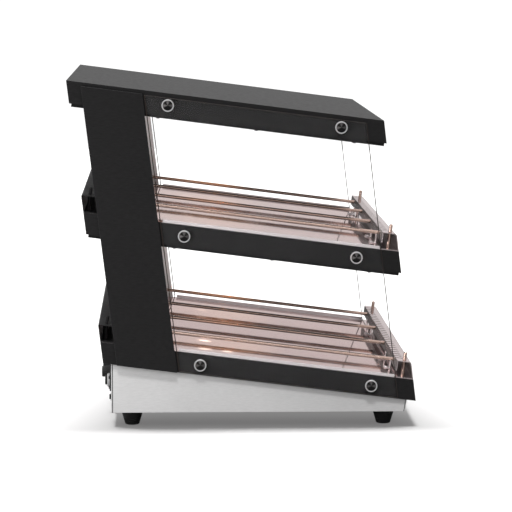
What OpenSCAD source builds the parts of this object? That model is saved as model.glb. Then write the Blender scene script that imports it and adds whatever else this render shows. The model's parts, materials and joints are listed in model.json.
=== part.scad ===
// Two-tier pass-through food warmer: a slanted canopy and two slanted heated decks,
// carried between leaning side posts and glass ends on a sheet-metal base with rubber feet.
// The customer side faces -Y, +X is the right-hand side seen from there, and +Z is up.
// The origin is on the floor under the middle of the whole body. All sizes are millimetres.

/* [Overall] */
// Width over the outer faces of the two glass ends
body_w = 686; // [560:1:1000]
// Length of the canopy and of each deck along its slope
slab_len = 565; // [500:1:700]
// Downward slope of the canopy and decks towards the customer, in degrees
tilt = 7.2; // [5:0.1:9]
// Backward lean of the posts, glass and end faces, in degrees
lean = 7; // [5:0.1:9]
// Vertical distance from one level to the next
level_rise = 231.5; // [190:0.5:300]

/* [Canopy and decks] */
// Thickness of the canopy, square to its slope
canopy_t = 39.7; // [37:0.1:50]
// Thickness of each deck, square to its slope
deck_t = 37.7; // [36:0.1:50]
// Thickness of the painted sheet
skin = 1.5; // [1:0.1:2]
// Width of the folded flanges
flange_w = 14; // [12:0.5:18]
// Gap left between neighbouring sheet pieces
seam = 0.2; // [0.1:0.05:0.3]
// Thickness of the polished tray
tray_t = 1.5; // [1:0.1:2]
// Height of the bright lip along each side of a tray
trim_h = 5.6; // [4:0.1:8]
// Thickness of the lip's strip
trim_t = 1.2; // [0.8:0.1:1.6]
// Width of the lip's foot on the tray
trim_foot = 10; // [6:0.5:14]
// Thickness of the heater mat under a tray
mat_t = 3; // [2:0.5:4]
// Distance from the heater mat to the flanges round it
mat_gap = 5; // [3:0.5:20]

/* [Lamp pans] */
// How far a lamp pan hangs below the sheet edge
pan_drop = 5.5; // [4:0.1:8]
// How far a lamp pan stands in from the edges
pan_inset = 4; // [3:0.1:6]
// Distance between the two lamp wells, along the width
lamp_pitch = 380; // [200:5:460]
// Distance of the lamps from the rear edge of the canopy or deck
lamp_a = 305; // [200:1:380]
// Length of a lamp well along the slope
well_l = 66; // [60:1:68]
// Width of a lamp well
well_w = 44; // [36:1:60]
// Depth of a lamp well above the pan's underside
well_depth = 26; // [24:0.5:28]
// Diameter of a lamp's glass
bulb_d = 16; // [12:0.5:18]
// Length of a lamp's glass
bulb_l = 38; // [30:1:40]
// Length of a ceramic lamp holder
holder_l = 16; // [12:0.5:18]
// Width and height of a ceramic lamp holder
holder_w = 18; // [14:0.5:20]

/* [Posts] */
// Distance from a slab's rear edge to the post's rear edge
post_rear = 25; // [20:0.5:30]
// Width of a post along the slope
post_w = 108.4; // [90:0.1:130]
// Distance from the canopy's top to the post's top
post_top_drop = 6.5; // [4:0.5:10]
// Depth of the polished post liner into the cabinet
liner_depth = 12; // [10:0.5:16]
// Thickness of the liner sheet
liner_t = 1.2; // [0.8:0.1:1.5]
// Distance from the post's rear edge to the liner's rear edge
liner_setback = 14; // [13:0.5:20]
// Diameter of a wire in a post
wire_d = 3; // [2:0.1:3]
// Distance between wires in a post
wire_pitch = 6; // [4:0.5:8]
// Diameter of the hole that a wire grommet sits in
grommet_hole_d = 14; // [12:0.5:16]

/* [Side glass] */
// Thickness of the side glass
glass_t = 5; // [4:0.1:6]
// Thickness of the gasket between glass and slab
gasket_t = 1; // [1:0.1:1.5]
// Gap between a post and the glass
glass_gap = 3; // [2:0.5:6]
// Distance from a slab's front edge to the glass's front edge
glass_front_inset = 32.2; // [20:0.1:40]
// Distance from the canopy's top to the glass's top
glass_top_drop = 8; // [5:0.5:12]
// Distance from the lower deck's bottom to the glass's bottom
glass_bottom_rise = 2; // [1:0.5:6]
// Distance from the glass's rear edge to the rear buttons
rear_button_inset = 40.6; // [25:0.1:80]
// Distance from the glass's front edge to the front buttons
front_button_inset = 47.3; // [25:0.1:80]
// Height of the buttons above a slab's bottom edge
button_z = 18.5; // [16:0.1:20]
// Diameter of a silver button ring
ring_d = 22; // [20:0.5:26]
// Diameter of a black button cap
cap_d = 17.5; // [14:0.5:18]
// How far a button ring stands off the glass
ring_h = 3; // [2.5:0.1:5]
// Diameter of a stud through the glass
stud_d = 6; // [5:0.5:6]
// Diameter of a glass or gasket hole
glass_hole_d = 8; // [7:0.5:9]

/* [Rails] */
// Height of a rail above the tray
rail_h = 31; // [28:0.5:40]
// Width of the front rail at its foot
front_rail_w = 33; // [31:0.5:40]
// Width of the rear rail at its foot
rear_rail_w = 26.6; // [24:0.1:29]
// Thickness of the rail sheet
rail_t = 1.5; // [1:0.1:1.8]
// Height of a rail's inner wall below its top
rail_lip = 19; // [14:0.5:22]
// Width of the bevel along a rail's outer top edge
rail_bevel = 2.5; // [1.5:0.1:4]
// Gap between a rail's end and the slab's side
rail_end_gap = 2; // [1:0.5:5]
// Distance from one comb slot to the next
comb_pitch = 22.5; // [18:0.5:24]
// Width of a comb slot
slot_w = 7.2; // [6.8:0.1:8]
// Depth of a comb slot below a rail's top
slot_depth = 10.2; // [9:0.1:12]
// Length of a comb slot across a rail's top
slot_run = 13; // [11:0.5:13]
// Diameter of a rail pin
pin_d = 6.5; // [5:0.1:7]
// Height of a rail pin above the tray
pin_h = 45; // [42:0.5:55]
// Distance from a rail's end to its pin
pin_end_inset = 22; // [16:0.5:24]
// Distance from the front rail's front foot to its pins
front_pin_inset = 15; // [13:0.5:16]
// Distance from the rear rail's rear foot to its pins
rear_pin_inset = 8; // [7:0.5:9]

/* [Rail brackets] */
// Distance of the outer brackets from the middle
bracket_outer_x = 236; // [200:1:240]
// Distance of the inner brackets from the middle
bracket_inner_x = 146; // [100:1:160]
// Width of a bracket
bracket_w = 16; // [14:0.5:20]
// Length of a bracket's foot on the tray
bracket_foot = 12; // [11:0.5:16]
// Thickness of a bracket
bracket_t = 1.2; // [0.8:0.1:1.6]

/* [Divider rods] */
// Diameter of a divider rod
rod_d = 6.35; // [5:0.05:6.5]
// Number of divider rods on each deck
rod_count = 4; // [4:1:4]
// Most comb slots from one rod to the next
rod_slots = 8; // [4:1:8]
// How far a rod's end reaches past a rail's inner wall
rod_reach = 9; // [7:0.5:10]

/* [Base] */
// Height of the rubber feet
foot_h = 25.4; // [20:0.1:40]
// Diameter of a foot at its top
foot_top_d = 39; // [34:0.5:44]
// Diameter of a foot at the floor
foot_bottom_d = 26; // [22:0.5:34]
// Distance from the base's walls to a foot's axis, front and rear
foot_inset = 37; // [30:0.5:50]
// Distance from the base's sides to a foot's axis
foot_side_inset = 28; // [24:0.5:60]
// Height of the lower deck's rear bottom edge above the base's underside
base_rear_h = 90.9; // [88:0.1:120]
// Distance from the lower deck's side to the base's side
base_side_inset = 6; // [4:0.5:12]
// Distance from the lower deck's rear edge to the base's rear face
base_rear_inset = 14.3; // [8:0.1:24]
// Distance from the lower deck's front edge to the base's front face at its top
base_front_inset = 15.2; // [10:0.1:30]
// How much further the base's front face is set back at its foot
base_front_rake = 3.2; // [0:0.1:6]

/* [Rear controls] */
// Width of the control plate
plate_w = 240; // [232:1:260]
// Height of the control plate
plate_h = 30; // [28:0.5:34]
// Thickness of the control plate
plate_t = 3; // [2:0.1:4]
// Distance of the control plate's left end from the base's left side
plate_from_side = 18; // [10:1:80]
// Height of the controls above the base's underside
control_z = 51; // [48:0.5:54]
// Distance from the plate's ends to the outer controls
control_inset = 30; // [24:1:40]
// Diameter of a heat knob
knob_d = 22.5; // [20:0.5:26]
// Length of a heat knob
knob_l = 16; // [14:0.5:20]
// Diameter of a thermostat shaft
shaft_d = 6; // [5:0.5:6]
// Diameter of the light button's bright ring
bezel_d = 25; // [22:0.5:28]
// Diameter of the light button
light_button_d = 16.6; // [14:0.1:17]
// Travel of the light button
light_button_travel = 3; // [2:0.5:4]
// Height of the rocker switch above the base's underside
rocker_z = 21.5; // [18:0.5:24]
// Length of the rocker
rocker_l = 16; // [12:0.5:18]
// Angle that the rocker turns through, in degrees
rocker_swing = 16; // [8:1:18]
// Distance of the cord gland from the base's right side
gland_from_side = 61; // [40:1:120]
// Height of the cord gland above the base's underside
gland_z = 30; // [24:0.5:40]
// Diameter of the cord gland's bore
gland_bore_d = 8.4; // [6:0.1:9]

/* [Hidden] */
$fn = 48;
overrun = 1;
slant = tan(tilt + lean);
end_skin = skin / cos(tilt + lean);
side_x = body_w / 2 - glass_t - gasket_t;
level_step = level_rise * tan(lean);
canopy_back = canopy_t * (slant * cos(tilt) - sin(tilt));
half_depth = (canopy_back + 2 * level_step + slab_len * cos(tilt)) / 2;
tray_z = deck_t;
rail_x = side_x - rail_end_gap;
rail_top_z = deck_t + rail_h;
front_rail_y = -slab_len + deck_t * slant + front_rail_w;
rear_rail_y = deck_t * slant - rear_rail_w;
front_pin_y = -slab_len + deck_t * slant + front_pin_inset + rail_bevel;
rear_pin_y = deck_t * slant - rear_pin_inset;
pin_x = rail_x - pin_end_inset;
pin_clear = 0.15;
slot_count = 2 * floor((pin_x - pin_d / 2 - slot_w / 2) / comb_pitch + 0.5);
rod_step = min(rod_slots, floor(slot_count / (rod_count - 1 / 2)));
rod_rest = 0.2;
rod_z = rail_top_z - slot_depth + rod_d / 2 + rod_rest;
trim_x = side_x - skin - seam;
trim_gap = 2;
post_front = post_rear + post_w;
glass_rear = post_front + glass_gap;
glass_front = slab_len - glass_front_inset;
button_a = [glass_rear + rear_button_inset, glass_front - front_button_inset];
glass_x = [side_x + gasket_t, side_x + gasket_t + glass_t];
nut_h = 5;
nut_d = 11.5;
nut_gap = 0.1;
stud_head_t = 1;
stud_head_d = cap_d - 2 * overrun;
ring_bore_clear = 0.1;
wire_a = post_rear + post_w / 2;
grommet_lip = 2;
grommet_t = 1;
grommet_bore_d = grommet_hole_d - 2 * grommet_lip;
pan_screw_d = 3.5;
pan_screw_head_d = 7;
pan_screw_head_t = 1.6;
pan_screw_shares = [0.28, 0.59, 0.9];
hole_clear = 0.2;
reflector_t = 1;
bracket_screw_head_d = 7;
bracket_screw_head_t = 1.6;
base_x = side_x - base_side_inset;
base_rear_y = level_y(0) - base_rear_inset;
base_front_y = level_y(0) - slab_len * cos(tilt) + base_front_inset;
base_foot_y = base_front_y + base_front_rake;
plate_face_y = base_rear_y + plate_t;
plate_x = -base_x + plate_from_side + plate_w / 2;
control_pitch = plate_w / 2 - control_inset;
button_x = plate_x - control_pitch;
knob_x = [plate_x, plate_x + control_pitch];
controls_z = foot_h + control_z;
bushing_d = 9.5;
bushing_out = 3;
thermostat_w = 34;
thermostat_h = 28;
thermostat_depth = 22;
shaft_fit = 0.05;
knob_gap = 1;
knob_socket = 5;
knob_flutes = 18;
flute_d = 2.4;
bezel_h = 5;
barrel_d = 19.5;
barrel_depth = 16;
light_button_out = bezel_h + light_button_travel + overrun;
light_button_l = 18;
running_gap = 0.2;
switch_flange = [24, 13];
switch_flange_t = 1.8;
switch_body = [21.5, 11.5];
switch_wall = 0.9;
switch_depth = 15;
rocker_h = 9;
rocker_axis_depth = 2.5;
trunnion_d = 2;
rocker_rise = 4.5;
rocker_dish = 1.5;
gland_x = base_x - gland_from_side;
gland_flange_d = 24;
gland_flange_t = 5;
gland_barrel_d = 16;
gland_barrel_l = 12;
gland_nose_l = 14;
gland_nose_d = 14;
foot_recess_d = 12;
foot_recess_h = 9;
foot_screw_d = 5;
foot_screw_head_d = 9.5;
foot_screw_head_h = 3.5;
foot_floor_chamfer = 1.5;
terminal_size = [64, 26, 18];
terminal_poles = 5;
terminal_screw_d = 5;
terminal_screw_h = 1.5;
terminal_back = 70;
panel_screw_d = 3.5;
panel_screw_head_d = 6.5;
panel_screw_head_t = 2;
panel_screw_inset = 6;
panel_screw_l = 10;
level_names = ["lower", "middle"];

// Places of the three levels: 0 is the lower deck, 1 the middle deck and 2 the canopy.
// Each is the level's rear bottom edge.
function level_y(k) = half_depth - canopy_back - (2 - k) * level_step;
function level_z(k) = foot_h + base_rear_h + k * level_rise;
// A point given in a level's own slanted frame, in the upright frame
function upright(k, y, z) = [level_y(k) + y * cos(tilt) - z * sin(tilt),
    level_z(k) + y * sin(tilt) + z * cos(tilt)];
// A point on the leaning line that starts a behind a level's rear bottom edge
function on_lean(k, a, z) = upright(k, -a + z * slant, z);
// Height of the lower deck's underside above the floor
function deck_underside(y) = level_z(0) - (level_y(0) - y) * tan(tilt);
function slot_x(i) = (i - (slot_count - 1) / 2) * comb_pitch;
function rod_x(i) = slot_x(slot_count / 2 - 1 + floor((i - (rod_count - 1) / 2) * rod_step));

module on_level(k) {
    translate([0, level_y(k), level_z(k)]) rotate([tilt, 0, 0]) children();
}

// A flat outline in Y and Z, drawn out from one X to another
module across(x0, x1) {
    translate([x0, 0, 0]) rotate([90, 0, 90]) linear_extrude(x1 - x0) children();
}

module block(x, y, z) {
    translate([x[0], y[0], z[0]]) cube([x[1] - x[0], y[1] - y[0], z[1] - z[0]]);
}

module both_sides() {
    children();
    mirror([1, 0, 0]) children();
}

// A round bar or hole that runs along X, Y or Z from the current place
module along_x(d, l) {
    rotate([0, 90, 0]) cylinder(d = d, h = l);
}

module along_y(d, l) {
    rotate([-90, 0, 0]) cylinder(d = d, h = l);
}

// The slanted outline of a slab between two heights, drawn in at both ends
module slab_slice(z0, z1, inset = 0) {
    polygon([[z0 * slant - inset, z0], [z1 * slant - inset, z1],
        [-slab_len + z1 * slant + inset, z1], [-slab_len + z0 * slant + inset, z0]]);
}

// The leaning outline of a post or glass, from the lower deck to the canopy
module lean_outline(rear, front, bottom, top) {
    polygon([on_lean(0, rear, bottom), on_lean(2, rear, top),
        on_lean(2, front, top), on_lean(0, front, bottom)]);
}

// Holes in a slab's side walls for the glass studs and the wires
module side_wall_holes(t) {
    for (a = button_a)
        translate([side_x - skin - overrun, -a + button_z * slant, button_z])
            along_x(stud_d + hole_clear, skin + 2 * overrun);
    translate([side_x - skin - overrun, -wire_a + t / 2 * slant, t / 2])
        along_x(grommet_hole_d, skin + 2 * overrun);
}

// Places of the screws that hold a lamp pan up to the bottom flanges
module at_pan_screws() {
    for (share = pan_screw_shares)
        translate([side_x - (pan_inset + flange_w) / 2, -share * slab_len, 0]) children();
}

module canopy_cover() {
    color([0.13, 0.13, 0.14]) on_level(2) difference() {
        across(-side_x, side_x) slab_slice(0, canopy_t);
        across(-side_x + skin, side_x - skin) slab_slice(skin, canopy_t - skin, end_skin);
        across(-side_x + flange_w, side_x - flange_w)
            slab_slice(-overrun, skin + overrun, flange_w);
        both_sides() side_wall_holes(canopy_t);
        both_sides() at_pan_screws() translate([0, 0, -overrun])
            cylinder(d = pan_screw_d + hole_clear, h = skin + 2 * overrun);
    }
}

// A folded side channel of a deck: wall, tray flange and bottom flange
module deck_side_channel(pan) {
    flange_z = deck_t - tray_t - skin;
    difference() {
        union() {
            across(side_x - skin, side_x) slab_slice(0, deck_t);
            across(side_x - flange_w, side_x) slab_slice(flange_z, flange_z + skin, end_skin + seam);
            across(side_x - flange_w, side_x) slab_slice(0, skin, end_skin + seam);
        }
        side_wall_holes(deck_t);
        if (pan) at_pan_screws() translate([0, 0, -overrun])
            cylinder(d = pan_screw_d + hole_clear, h = skin + 2 * overrun);
    }
}

// A folded cross channel of a deck, drawn for the rear end
module deck_cross_channel() {
    wall_x = side_x - skin - seam;
    flange_x = side_x - flange_w - seam;
    flange_z = deck_t - tray_t - skin;
    across(-wall_x, wall_x) polygon([[0, 0], [deck_t * slant, deck_t],
        [deck_t * slant - end_skin, deck_t], [-end_skin, 0]]);
    for (z = [0, flange_z])
        across(-flange_x, flange_x) polygon([[z * slant - end_skin / 2, z],
            [(z + skin) * slant - end_skin / 2, z + skin],
            [z * slant - flange_w, z + skin], [z * slant - flange_w, z]]);
}

// The front cross channel has the same wall, with its flanges turned to the rear
module deck_front_channel() {
    wall_x = side_x - skin - seam;
    flange_x = side_x - flange_w - seam;
    flange_z = deck_t - tray_t - skin;
    translate([0, -slab_len, 0]) {
        across(-wall_x, wall_x) polygon([[0, 0], [deck_t * slant, deck_t],
            [deck_t * slant + end_skin, deck_t], [end_skin, 0]]);
        for (z = [0, flange_z])
            across(-flange_x, flange_x) polygon([[z * slant + end_skin / 2, z],
                [(z + skin) * slant + end_skin / 2, z + skin],
                [z * slant + flange_w, z + skin], [z * slant + flange_w, z]]);
    }
}

module deck_frame(k) {
    color([0.13, 0.13, 0.14]) on_level(k) {
        both_sides() deck_side_channel(k == 1);
        deck_cross_channel();
        deck_front_channel();
    }
}

module tray(k) {
    edge = side_x - skin - seam;
    color([0.86, 0.83, 0.83]) on_level(k)
        across(-edge, edge) slab_slice(deck_t - tray_t, deck_t, end_skin + seam);
}

module tray_trims(k) {
    y = [front_rail_y + trim_gap, -post_front + trim_gap];
    color([0.9, 0.88, 0.88]) on_level(k) both_sides() {
        block([trim_x - trim_foot, trim_x], y, [tray_z, tray_z + trim_t]);
        block([trim_x - trim_t, trim_x], y, [tray_z, tray_z + trim_h]);
    }
}

module heater_mat(k) {
    x = side_x - flange_w - mat_gap;
    top = deck_t - tray_t;
    color([0.62, 0.24, 0.16]) on_level(k)
        block([-x, x], [-slab_len + top * slant + flange_w + mat_gap, -flange_w - mat_gap],
            [top - mat_t, top]);
}

// The lamp pan: a shallow sheet tray with two reflector wells open to the food below
module lamp_pan(k) {
    x = side_x - pan_inset;
    y = [-slab_len + pan_inset, -pan_inset];
    color([0.2, 0.2, 0.21]) on_level(k) difference() {
        union() {
            difference() {
                block([-x, x], y, [-pan_drop, 0]);
                block([-x + skin, x - skin], [y[0] + skin, y[1] - skin], [-pan_drop + skin, overrun]);
            }
            both_sides() well_box(reflector_t, 0);
        }
        both_sides() well_box(0, overrun);
        both_sides() at_pan_screws() translate([0, 0, -pan_drop - overrun])
            cylinder(d = pan_screw_d + hole_clear, h = pan_drop);
    }
}

module well_box(wall, below) {
    block([lamp_pitch / 2 - well_w / 2 - wall, lamp_pitch / 2 + well_w / 2 + wall],
        [-lamp_a - well_l / 2 - wall, -lamp_a + well_l / 2 + wall],
        [-pan_drop - below, -pan_drop + well_depth + wall]);
}

// The rear end of a lamp well's inside, on the lamp's axis
module at_lamps() {
    for (k = [1, 2]) on_level(k) both_sides()
        translate([lamp_pitch / 2, -lamp_a + well_l / 2, -pan_drop + well_depth / 2]) children();
}

module lamp_holders() {
    color([0.93, 0.91, 0.86]) at_lamps() difference() {
        block([-holder_w / 2, holder_w / 2], [-holder_l, 0], [-holder_w / 2, holder_w / 2]);
        translate([0, -holder_l - overrun, 0]) along_y(bulb_d / 2 + 2 * hole_clear, holder_l / 2);
    }
}

module lamp_bulbs() {
    neck = holder_l / 2 - 2 * overrun;
    color([1, 0.86, 0.6]) at_lamps() translate([0, -holder_l, 0]) rotate([90, 0, 0])
        rotate_extrude() {
            translate([0, -neck]) square([bulb_d / 4, neck + overrun]);
            square([bulb_d / 2, bulb_l - bulb_d / 2]);
            intersection() {
                translate([0, bulb_l - bulb_d / 2]) circle(d = bulb_d);
                translate([0, bulb_l - bulb_d]) square([bulb_d / 2, bulb_d]);
            }
        }
}

// Section of the front rail: a C that is open to the tray below its comb
module front_rail_section() {
    foot = deck_t;
    top = rail_top_z;
    t_end = rail_t / cos(tilt + lean);
    function outer(z) = -slab_len + z * slant;
    polygon([[outer(foot), foot], [outer(top - rail_bevel), top - rail_bevel],
        [outer(top) + rail_bevel, top], [front_rail_y, top], [front_rail_y, top - rail_lip],
        [front_rail_y - rail_t, top - rail_lip], [front_rail_y - rail_t, top - rail_t],
        [outer(top) + rail_bevel + rail_t / 2, top - rail_t],
        [outer(top - rail_bevel) + t_end, top - rail_bevel - rail_t / 2],
        [outer(foot + rail_t) + t_end, foot + rail_t], [front_rail_y, foot + rail_t],
        [front_rail_y, foot]]);
}

// Section of the rear rail, whose outer wall leans away from the tray
module rear_rail_section() {
    foot = deck_t;
    top = rail_top_z;
    t_end = rail_t / cos(tilt + lean);
    polygon([[foot * slant, foot], [(top - rail_bevel) * slant, top - rail_bevel],
        [top * slant - rail_bevel, top], [rear_rail_y, top], [rear_rail_y, top - rail_lip],
        [rear_rail_y + rail_t, top - rail_lip], [rear_rail_y + rail_t, top - rail_t],
        [top * slant - rail_bevel - rail_t / 2, top - rail_t],
        [(top - rail_bevel) * slant - t_end, top - rail_bevel - rail_t / 2],
        [(foot + rail_t) * slant - t_end, foot + rail_t], [rear_rail_y, foot + rail_t],
        [rear_rail_y, foot]]);
}

module rail_pin_holes(y) {
    both_sides() translate([pin_x, y, deck_t - overrun])
        cylinder(d = pin_d + 2 * pin_clear, h = rail_h + 2 * overrun);
}

module front_rail(k) {
    color([0.88, 0.85, 0.85]) on_level(k) difference() {
        across(-rail_x, rail_x) front_rail_section();
        for (i = [0 : slot_count - 1])
            block([slot_x(i) - slot_w / 2, slot_x(i) + slot_w / 2],
                [front_rail_y - slot_run, front_rail_y + overrun],
                [rail_top_z - slot_depth, rail_top_z + overrun]);
        rail_pin_holes(front_pin_y);
    }
}

module rear_rail(k) {
    color([0.12, 0.12, 0.13]) on_level(k) difference() {
        across(-rail_x, rail_x) rear_rail_section();
        for (i = [0 : slot_count - 1])
            block([slot_x(i) - slot_w / 2, slot_x(i) + slot_w / 2],
                [rear_rail_y - overrun, rear_rail_y + slot_run],
                [rail_top_z - slot_depth, rail_top_z + overrun]);
        rail_pin_holes(rear_pin_y);
    }
}

module rail_pins(k) {
    color([0.72, 0.66, 0.62]) on_level(k) both_sides()
        for (y = [front_pin_y, rear_pin_y])
            translate([pin_x, y, tray_z]) rotate_extrude() intersection() {
                union() {
                    square([pin_d / 2, pin_h - pin_d / 2]);
                    translate([0, pin_h - pin_d / 2]) circle(d = pin_d);
                }
                square([pin_d / 2, pin_h]);
            }
}

// Bent tabs that tie the front rail's inner wall down to the tray, each with a black screw
module rail_brackets(k) {
    top = rail_top_z - rail_lip + rail_lip / 4;
    color([0.85, 0.83, 0.82]) on_level(k) both_sides()
        for (x = [bracket_inner_x, bracket_outer_x])
            translate([x, front_rail_y, 0]) {
                block([-bracket_w / 2, bracket_w / 2], [0, bracket_t], [tray_z, top]);
                block([-bracket_w / 2, bracket_w / 2], [0, bracket_foot], [tray_z, tray_z + bracket_t]);
                translate([0, bracket_foot - bracket_screw_head_d / 2 - bracket_t / 2, tray_z])
                    cylinder(d = bracket_screw_head_d, h = bracket_t + bracket_screw_head_t);
            }
}

module post_cover(side) {
    top = canopy_t - post_top_drop;
    color([0.12, 0.12, 0.13]) scale([side, 1, 1]) difference() {
        across(side_x, body_w / 2) lean_outline(post_rear, post_front, 0, top);
        across(side_x - overrun, body_w / 2 - skin)
            lean_outline(post_rear + skin, post_front - skin, skin, top - skin);
    }
}

// Polished channels that close the inner face of each post between the levels
module post_liners() {
    rear = post_rear + liner_setback;
    color([0.88, 0.86, 0.85]) both_sides() for (k = [0, 1]) difference() {
        across(side_x - liner_depth, side_x) liner_outline(k, rear, post_front);
        across(side_x - liner_depth + liner_t, side_x + overrun)
            liner_outline(k, rear + liner_t, post_front - liner_t);
    }
}

module liner_outline(k, rear, front) {
    top = -pan_drop - seam;
    polygon([on_lean(k, rear, tray_z), on_lean(k + 1, rear, top),
        on_lean(k + 1, front, top), on_lean(k, front, tray_z)]);
}

module post_wires() {
    bottom = on_lean(0, wire_a, deck_t / 4);
    top = on_lean(2, wire_a, canopy_t * 3 / 4);
    x = body_w / 2 - skin - wire_d / 2 - seam;
    color([0.75, 0.2, 0.15]) both_sides() for (i = [-1, 0, 1])
        translate([x, bottom[0] + i * wire_pitch, bottom[1]]) rotate([-lean, 0, 0])
            cylinder(d = wire_d, h = norm(top - bottom));
}

module wire_grommets() {
    color([0.07, 0.07, 0.07]) both_sides() for (k = [0, 1, 2]) on_level(k) {
        t = k == 2 ? canopy_t : deck_t;
        translate([side_x - skin - grommet_t, -wire_a + t / 2 * slant, t / 2]) rotate([0, 90, 0])
            rotate_extrude() translate([grommet_bore_d / 2, 0]) {
                square([grommet_lip, skin + 2 * grommet_t]);
                square([2 * grommet_lip, grommet_t]);
                translate([0, skin + grommet_t]) square([2 * grommet_lip, grommet_t]);
            }
    }
}

// Places of the buttons along the glass on one side, on the slab's side plane
module at_buttons() {
    for (k = [0, 1, 2]) on_level(k) for (a = button_a)
        translate([side_x, -a + button_z * slant, button_z]) rotate([0, 90, 0]) children();
}

module side_glass(side) {
    color([0.85, 0.92, 0.92, 0.35]) scale([side, 1, 1]) difference() {
        across(glass_x[0], glass_x[1])
            lean_outline(glass_rear, glass_front, glass_bottom_rise, canopy_t - glass_top_drop);
        at_buttons() translate([0, 0, gasket_t - overrun])
            cylinder(d = glass_hole_d, h = glass_t + 2 * overrun);
    }
}

module glass_gaskets() {
    color([0.06, 0.06, 0.06]) both_sides() at_buttons() difference() {
        cylinder(d = cap_d, h = gasket_t);
        translate([0, 0, -overrun]) cylinder(d = glass_hole_d, h = gasket_t + 2 * overrun);
    }
}

module glass_studs() {
    length = skin + nut_gap + nut_h + gasket_t + glass_t;
    color([0.7, 0.7, 0.7]) both_sides() at_buttons() {
        translate([0, 0, gasket_t + glass_t - length]) cylinder(d = stud_d, h = length + stud_head_t);
        translate([0, 0, gasket_t + glass_t]) cylinder(d = stud_head_d, h = stud_head_t);
    }
}

module stud_nuts() {
    color([0.72, 0.72, 0.74]) both_sides() at_buttons()
        translate([0, 0, -skin - nut_gap - nut_h]) difference() {
            cylinder(d = nut_d, h = nut_h, $fn = 6);
            translate([0, 0, -overrun]) cylinder(d = stud_d, h = nut_h + 2 * overrun);
        }
}

module button_rings() {
    color([0.86, 0.86, 0.87]) both_sides() at_buttons() translate([0, 0, gasket_t + glass_t])
        rotate_extrude() {
            inner = cap_d / 2 + ring_bore_clear;
            polygon([[inner, 0], [ring_d / 2, 0], [ring_d / 2, ring_h / 2],
                [(inner + ring_d / 2) / 2, ring_h], [inner, ring_h]]);
        }
}

module button_caps() {
    color([0.05, 0.05, 0.05]) both_sides() at_buttons()
        translate([0, 0, gasket_t + glass_t + stud_head_t]) rotate_extrude()
            polygon([[0, 0], [cap_d / 2, 0], [cap_d / 2, (ring_h - stud_head_t) * 3 / 4],
                [cap_d / 3, ring_h - stud_head_t], [0, ring_h - stud_head_t]]);
}

module pan_screws() {
    color([0.3, 0.3, 0.31]) for (k = [1, 2]) on_level(k) both_sides() at_pan_screws() {
        translate([0, 0, -pan_drop - pan_screw_head_t])
            cylinder(d = pan_screw_head_d, h = pan_screw_head_t);
        translate([0, 0, -pan_drop - pan_screw_head_t / 2])
            cylinder(d = pan_screw_d, h = pan_drop + 3 * skin);
    }
}

// Side outline of the base, whose top follows the lower deck's underside
module base_outline(wall) {
    rear = base_rear_y - wall;
    front = base_front_y + wall;
    foot = base_foot_y + wall;
    drop = wall / cos(tilt);
    polygon([[rear, foot_h - (wall > 0 ? overrun : 0)], [rear, deck_underside(rear) - drop],
        [front, deck_underside(front) - drop], [foot, foot_h - (wall > 0 ? overrun : 0)]]);
}

module base_housing() {
    color([0.74, 0.74, 0.74]) difference() {
        across(-base_x, base_x) base_outline(0);
        across(-base_x + skin, base_x - skin) base_outline(skin);
        translate([0, base_rear_y - skin - overrun, 0]) rear_face_holes(skin + 2 * overrun);
    }
}

// Holes through the rear wall for every control
module rear_face_holes(l) {
    for (x = knob_x) translate([x, 0, controls_z]) along_y(bushing_d + hole_clear, l);
    translate([button_x, 0, controls_z]) along_y(barrel_d + hole_clear, l);
    translate([gland_x, 0, foot_h + gland_z]) along_y(gland_barrel_d + hole_clear, l);
    translate([button_x - switch_body[0] / 2 - hole_clear / 2, 0,
        foot_h + rocker_z - switch_body[1] / 2 - hole_clear / 2])
        cube([switch_body[0] + hole_clear, l, switch_body[1] + hole_clear]);
    at_panel_screws() along_y(panel_screw_d + hole_clear, l);
}

module at_panel_screws() {
    for (x = [-1, 1], z = [-1, 1])
        translate([plate_x + x * (plate_w / 2 - panel_screw_inset), 0,
            controls_z + z * (plate_h / 2 - panel_screw_inset)]) children();
}

module base_bottom_plate() {
    x = base_x - skin - seam;
    color([0.66, 0.66, 0.66]) difference() {
        block([-x, x], [base_foot_y + skin + seam, base_rear_y - skin - seam], [foot_h, foot_h + skin]);
        at_feet() cylinder(d = foot_screw_d + hole_clear, h = foot_h + skin + overrun);
    }
}

module at_feet() {
    for (x = [-1, 1], y = [base_foot_y + foot_inset, base_rear_y - foot_inset])
        translate([x * (base_x - foot_side_inset), y, 0]) children();
}

module rubber_feet() {
    color([0.05, 0.05, 0.05]) at_feet() difference() {
        rotate_extrude() polygon([[0, 0], [foot_bottom_d / 2 - foot_floor_chamfer, 0],
            [foot_bottom_d / 2, foot_floor_chamfer], [foot_top_d / 2, foot_h - foot_floor_chamfer],
            [foot_top_d / 2, foot_h], [0, foot_h]]);
        translate([0, 0, -overrun]) cylinder(d = foot_recess_d, h = foot_recess_h + overrun);
        cylinder(d = foot_screw_d + hole_clear, h = foot_h + overrun);
    }
}

module foot_screws() {
    color([0.7, 0.7, 0.7]) at_feet() {
        translate([0, 0, foot_recess_h - foot_screw_head_h])
            cylinder(d = foot_screw_head_d, h = foot_screw_head_h);
        translate([0, 0, foot_recess_h - foot_screw_head_h / 2])
            cylinder(d = foot_screw_d, h = foot_h - foot_recess_h + 2 * nut_h);
        translate([0, 0, foot_h + skin]) cylinder(d = foot_screw_head_d, h = nut_h, $fn = 6);
    }
}

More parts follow.
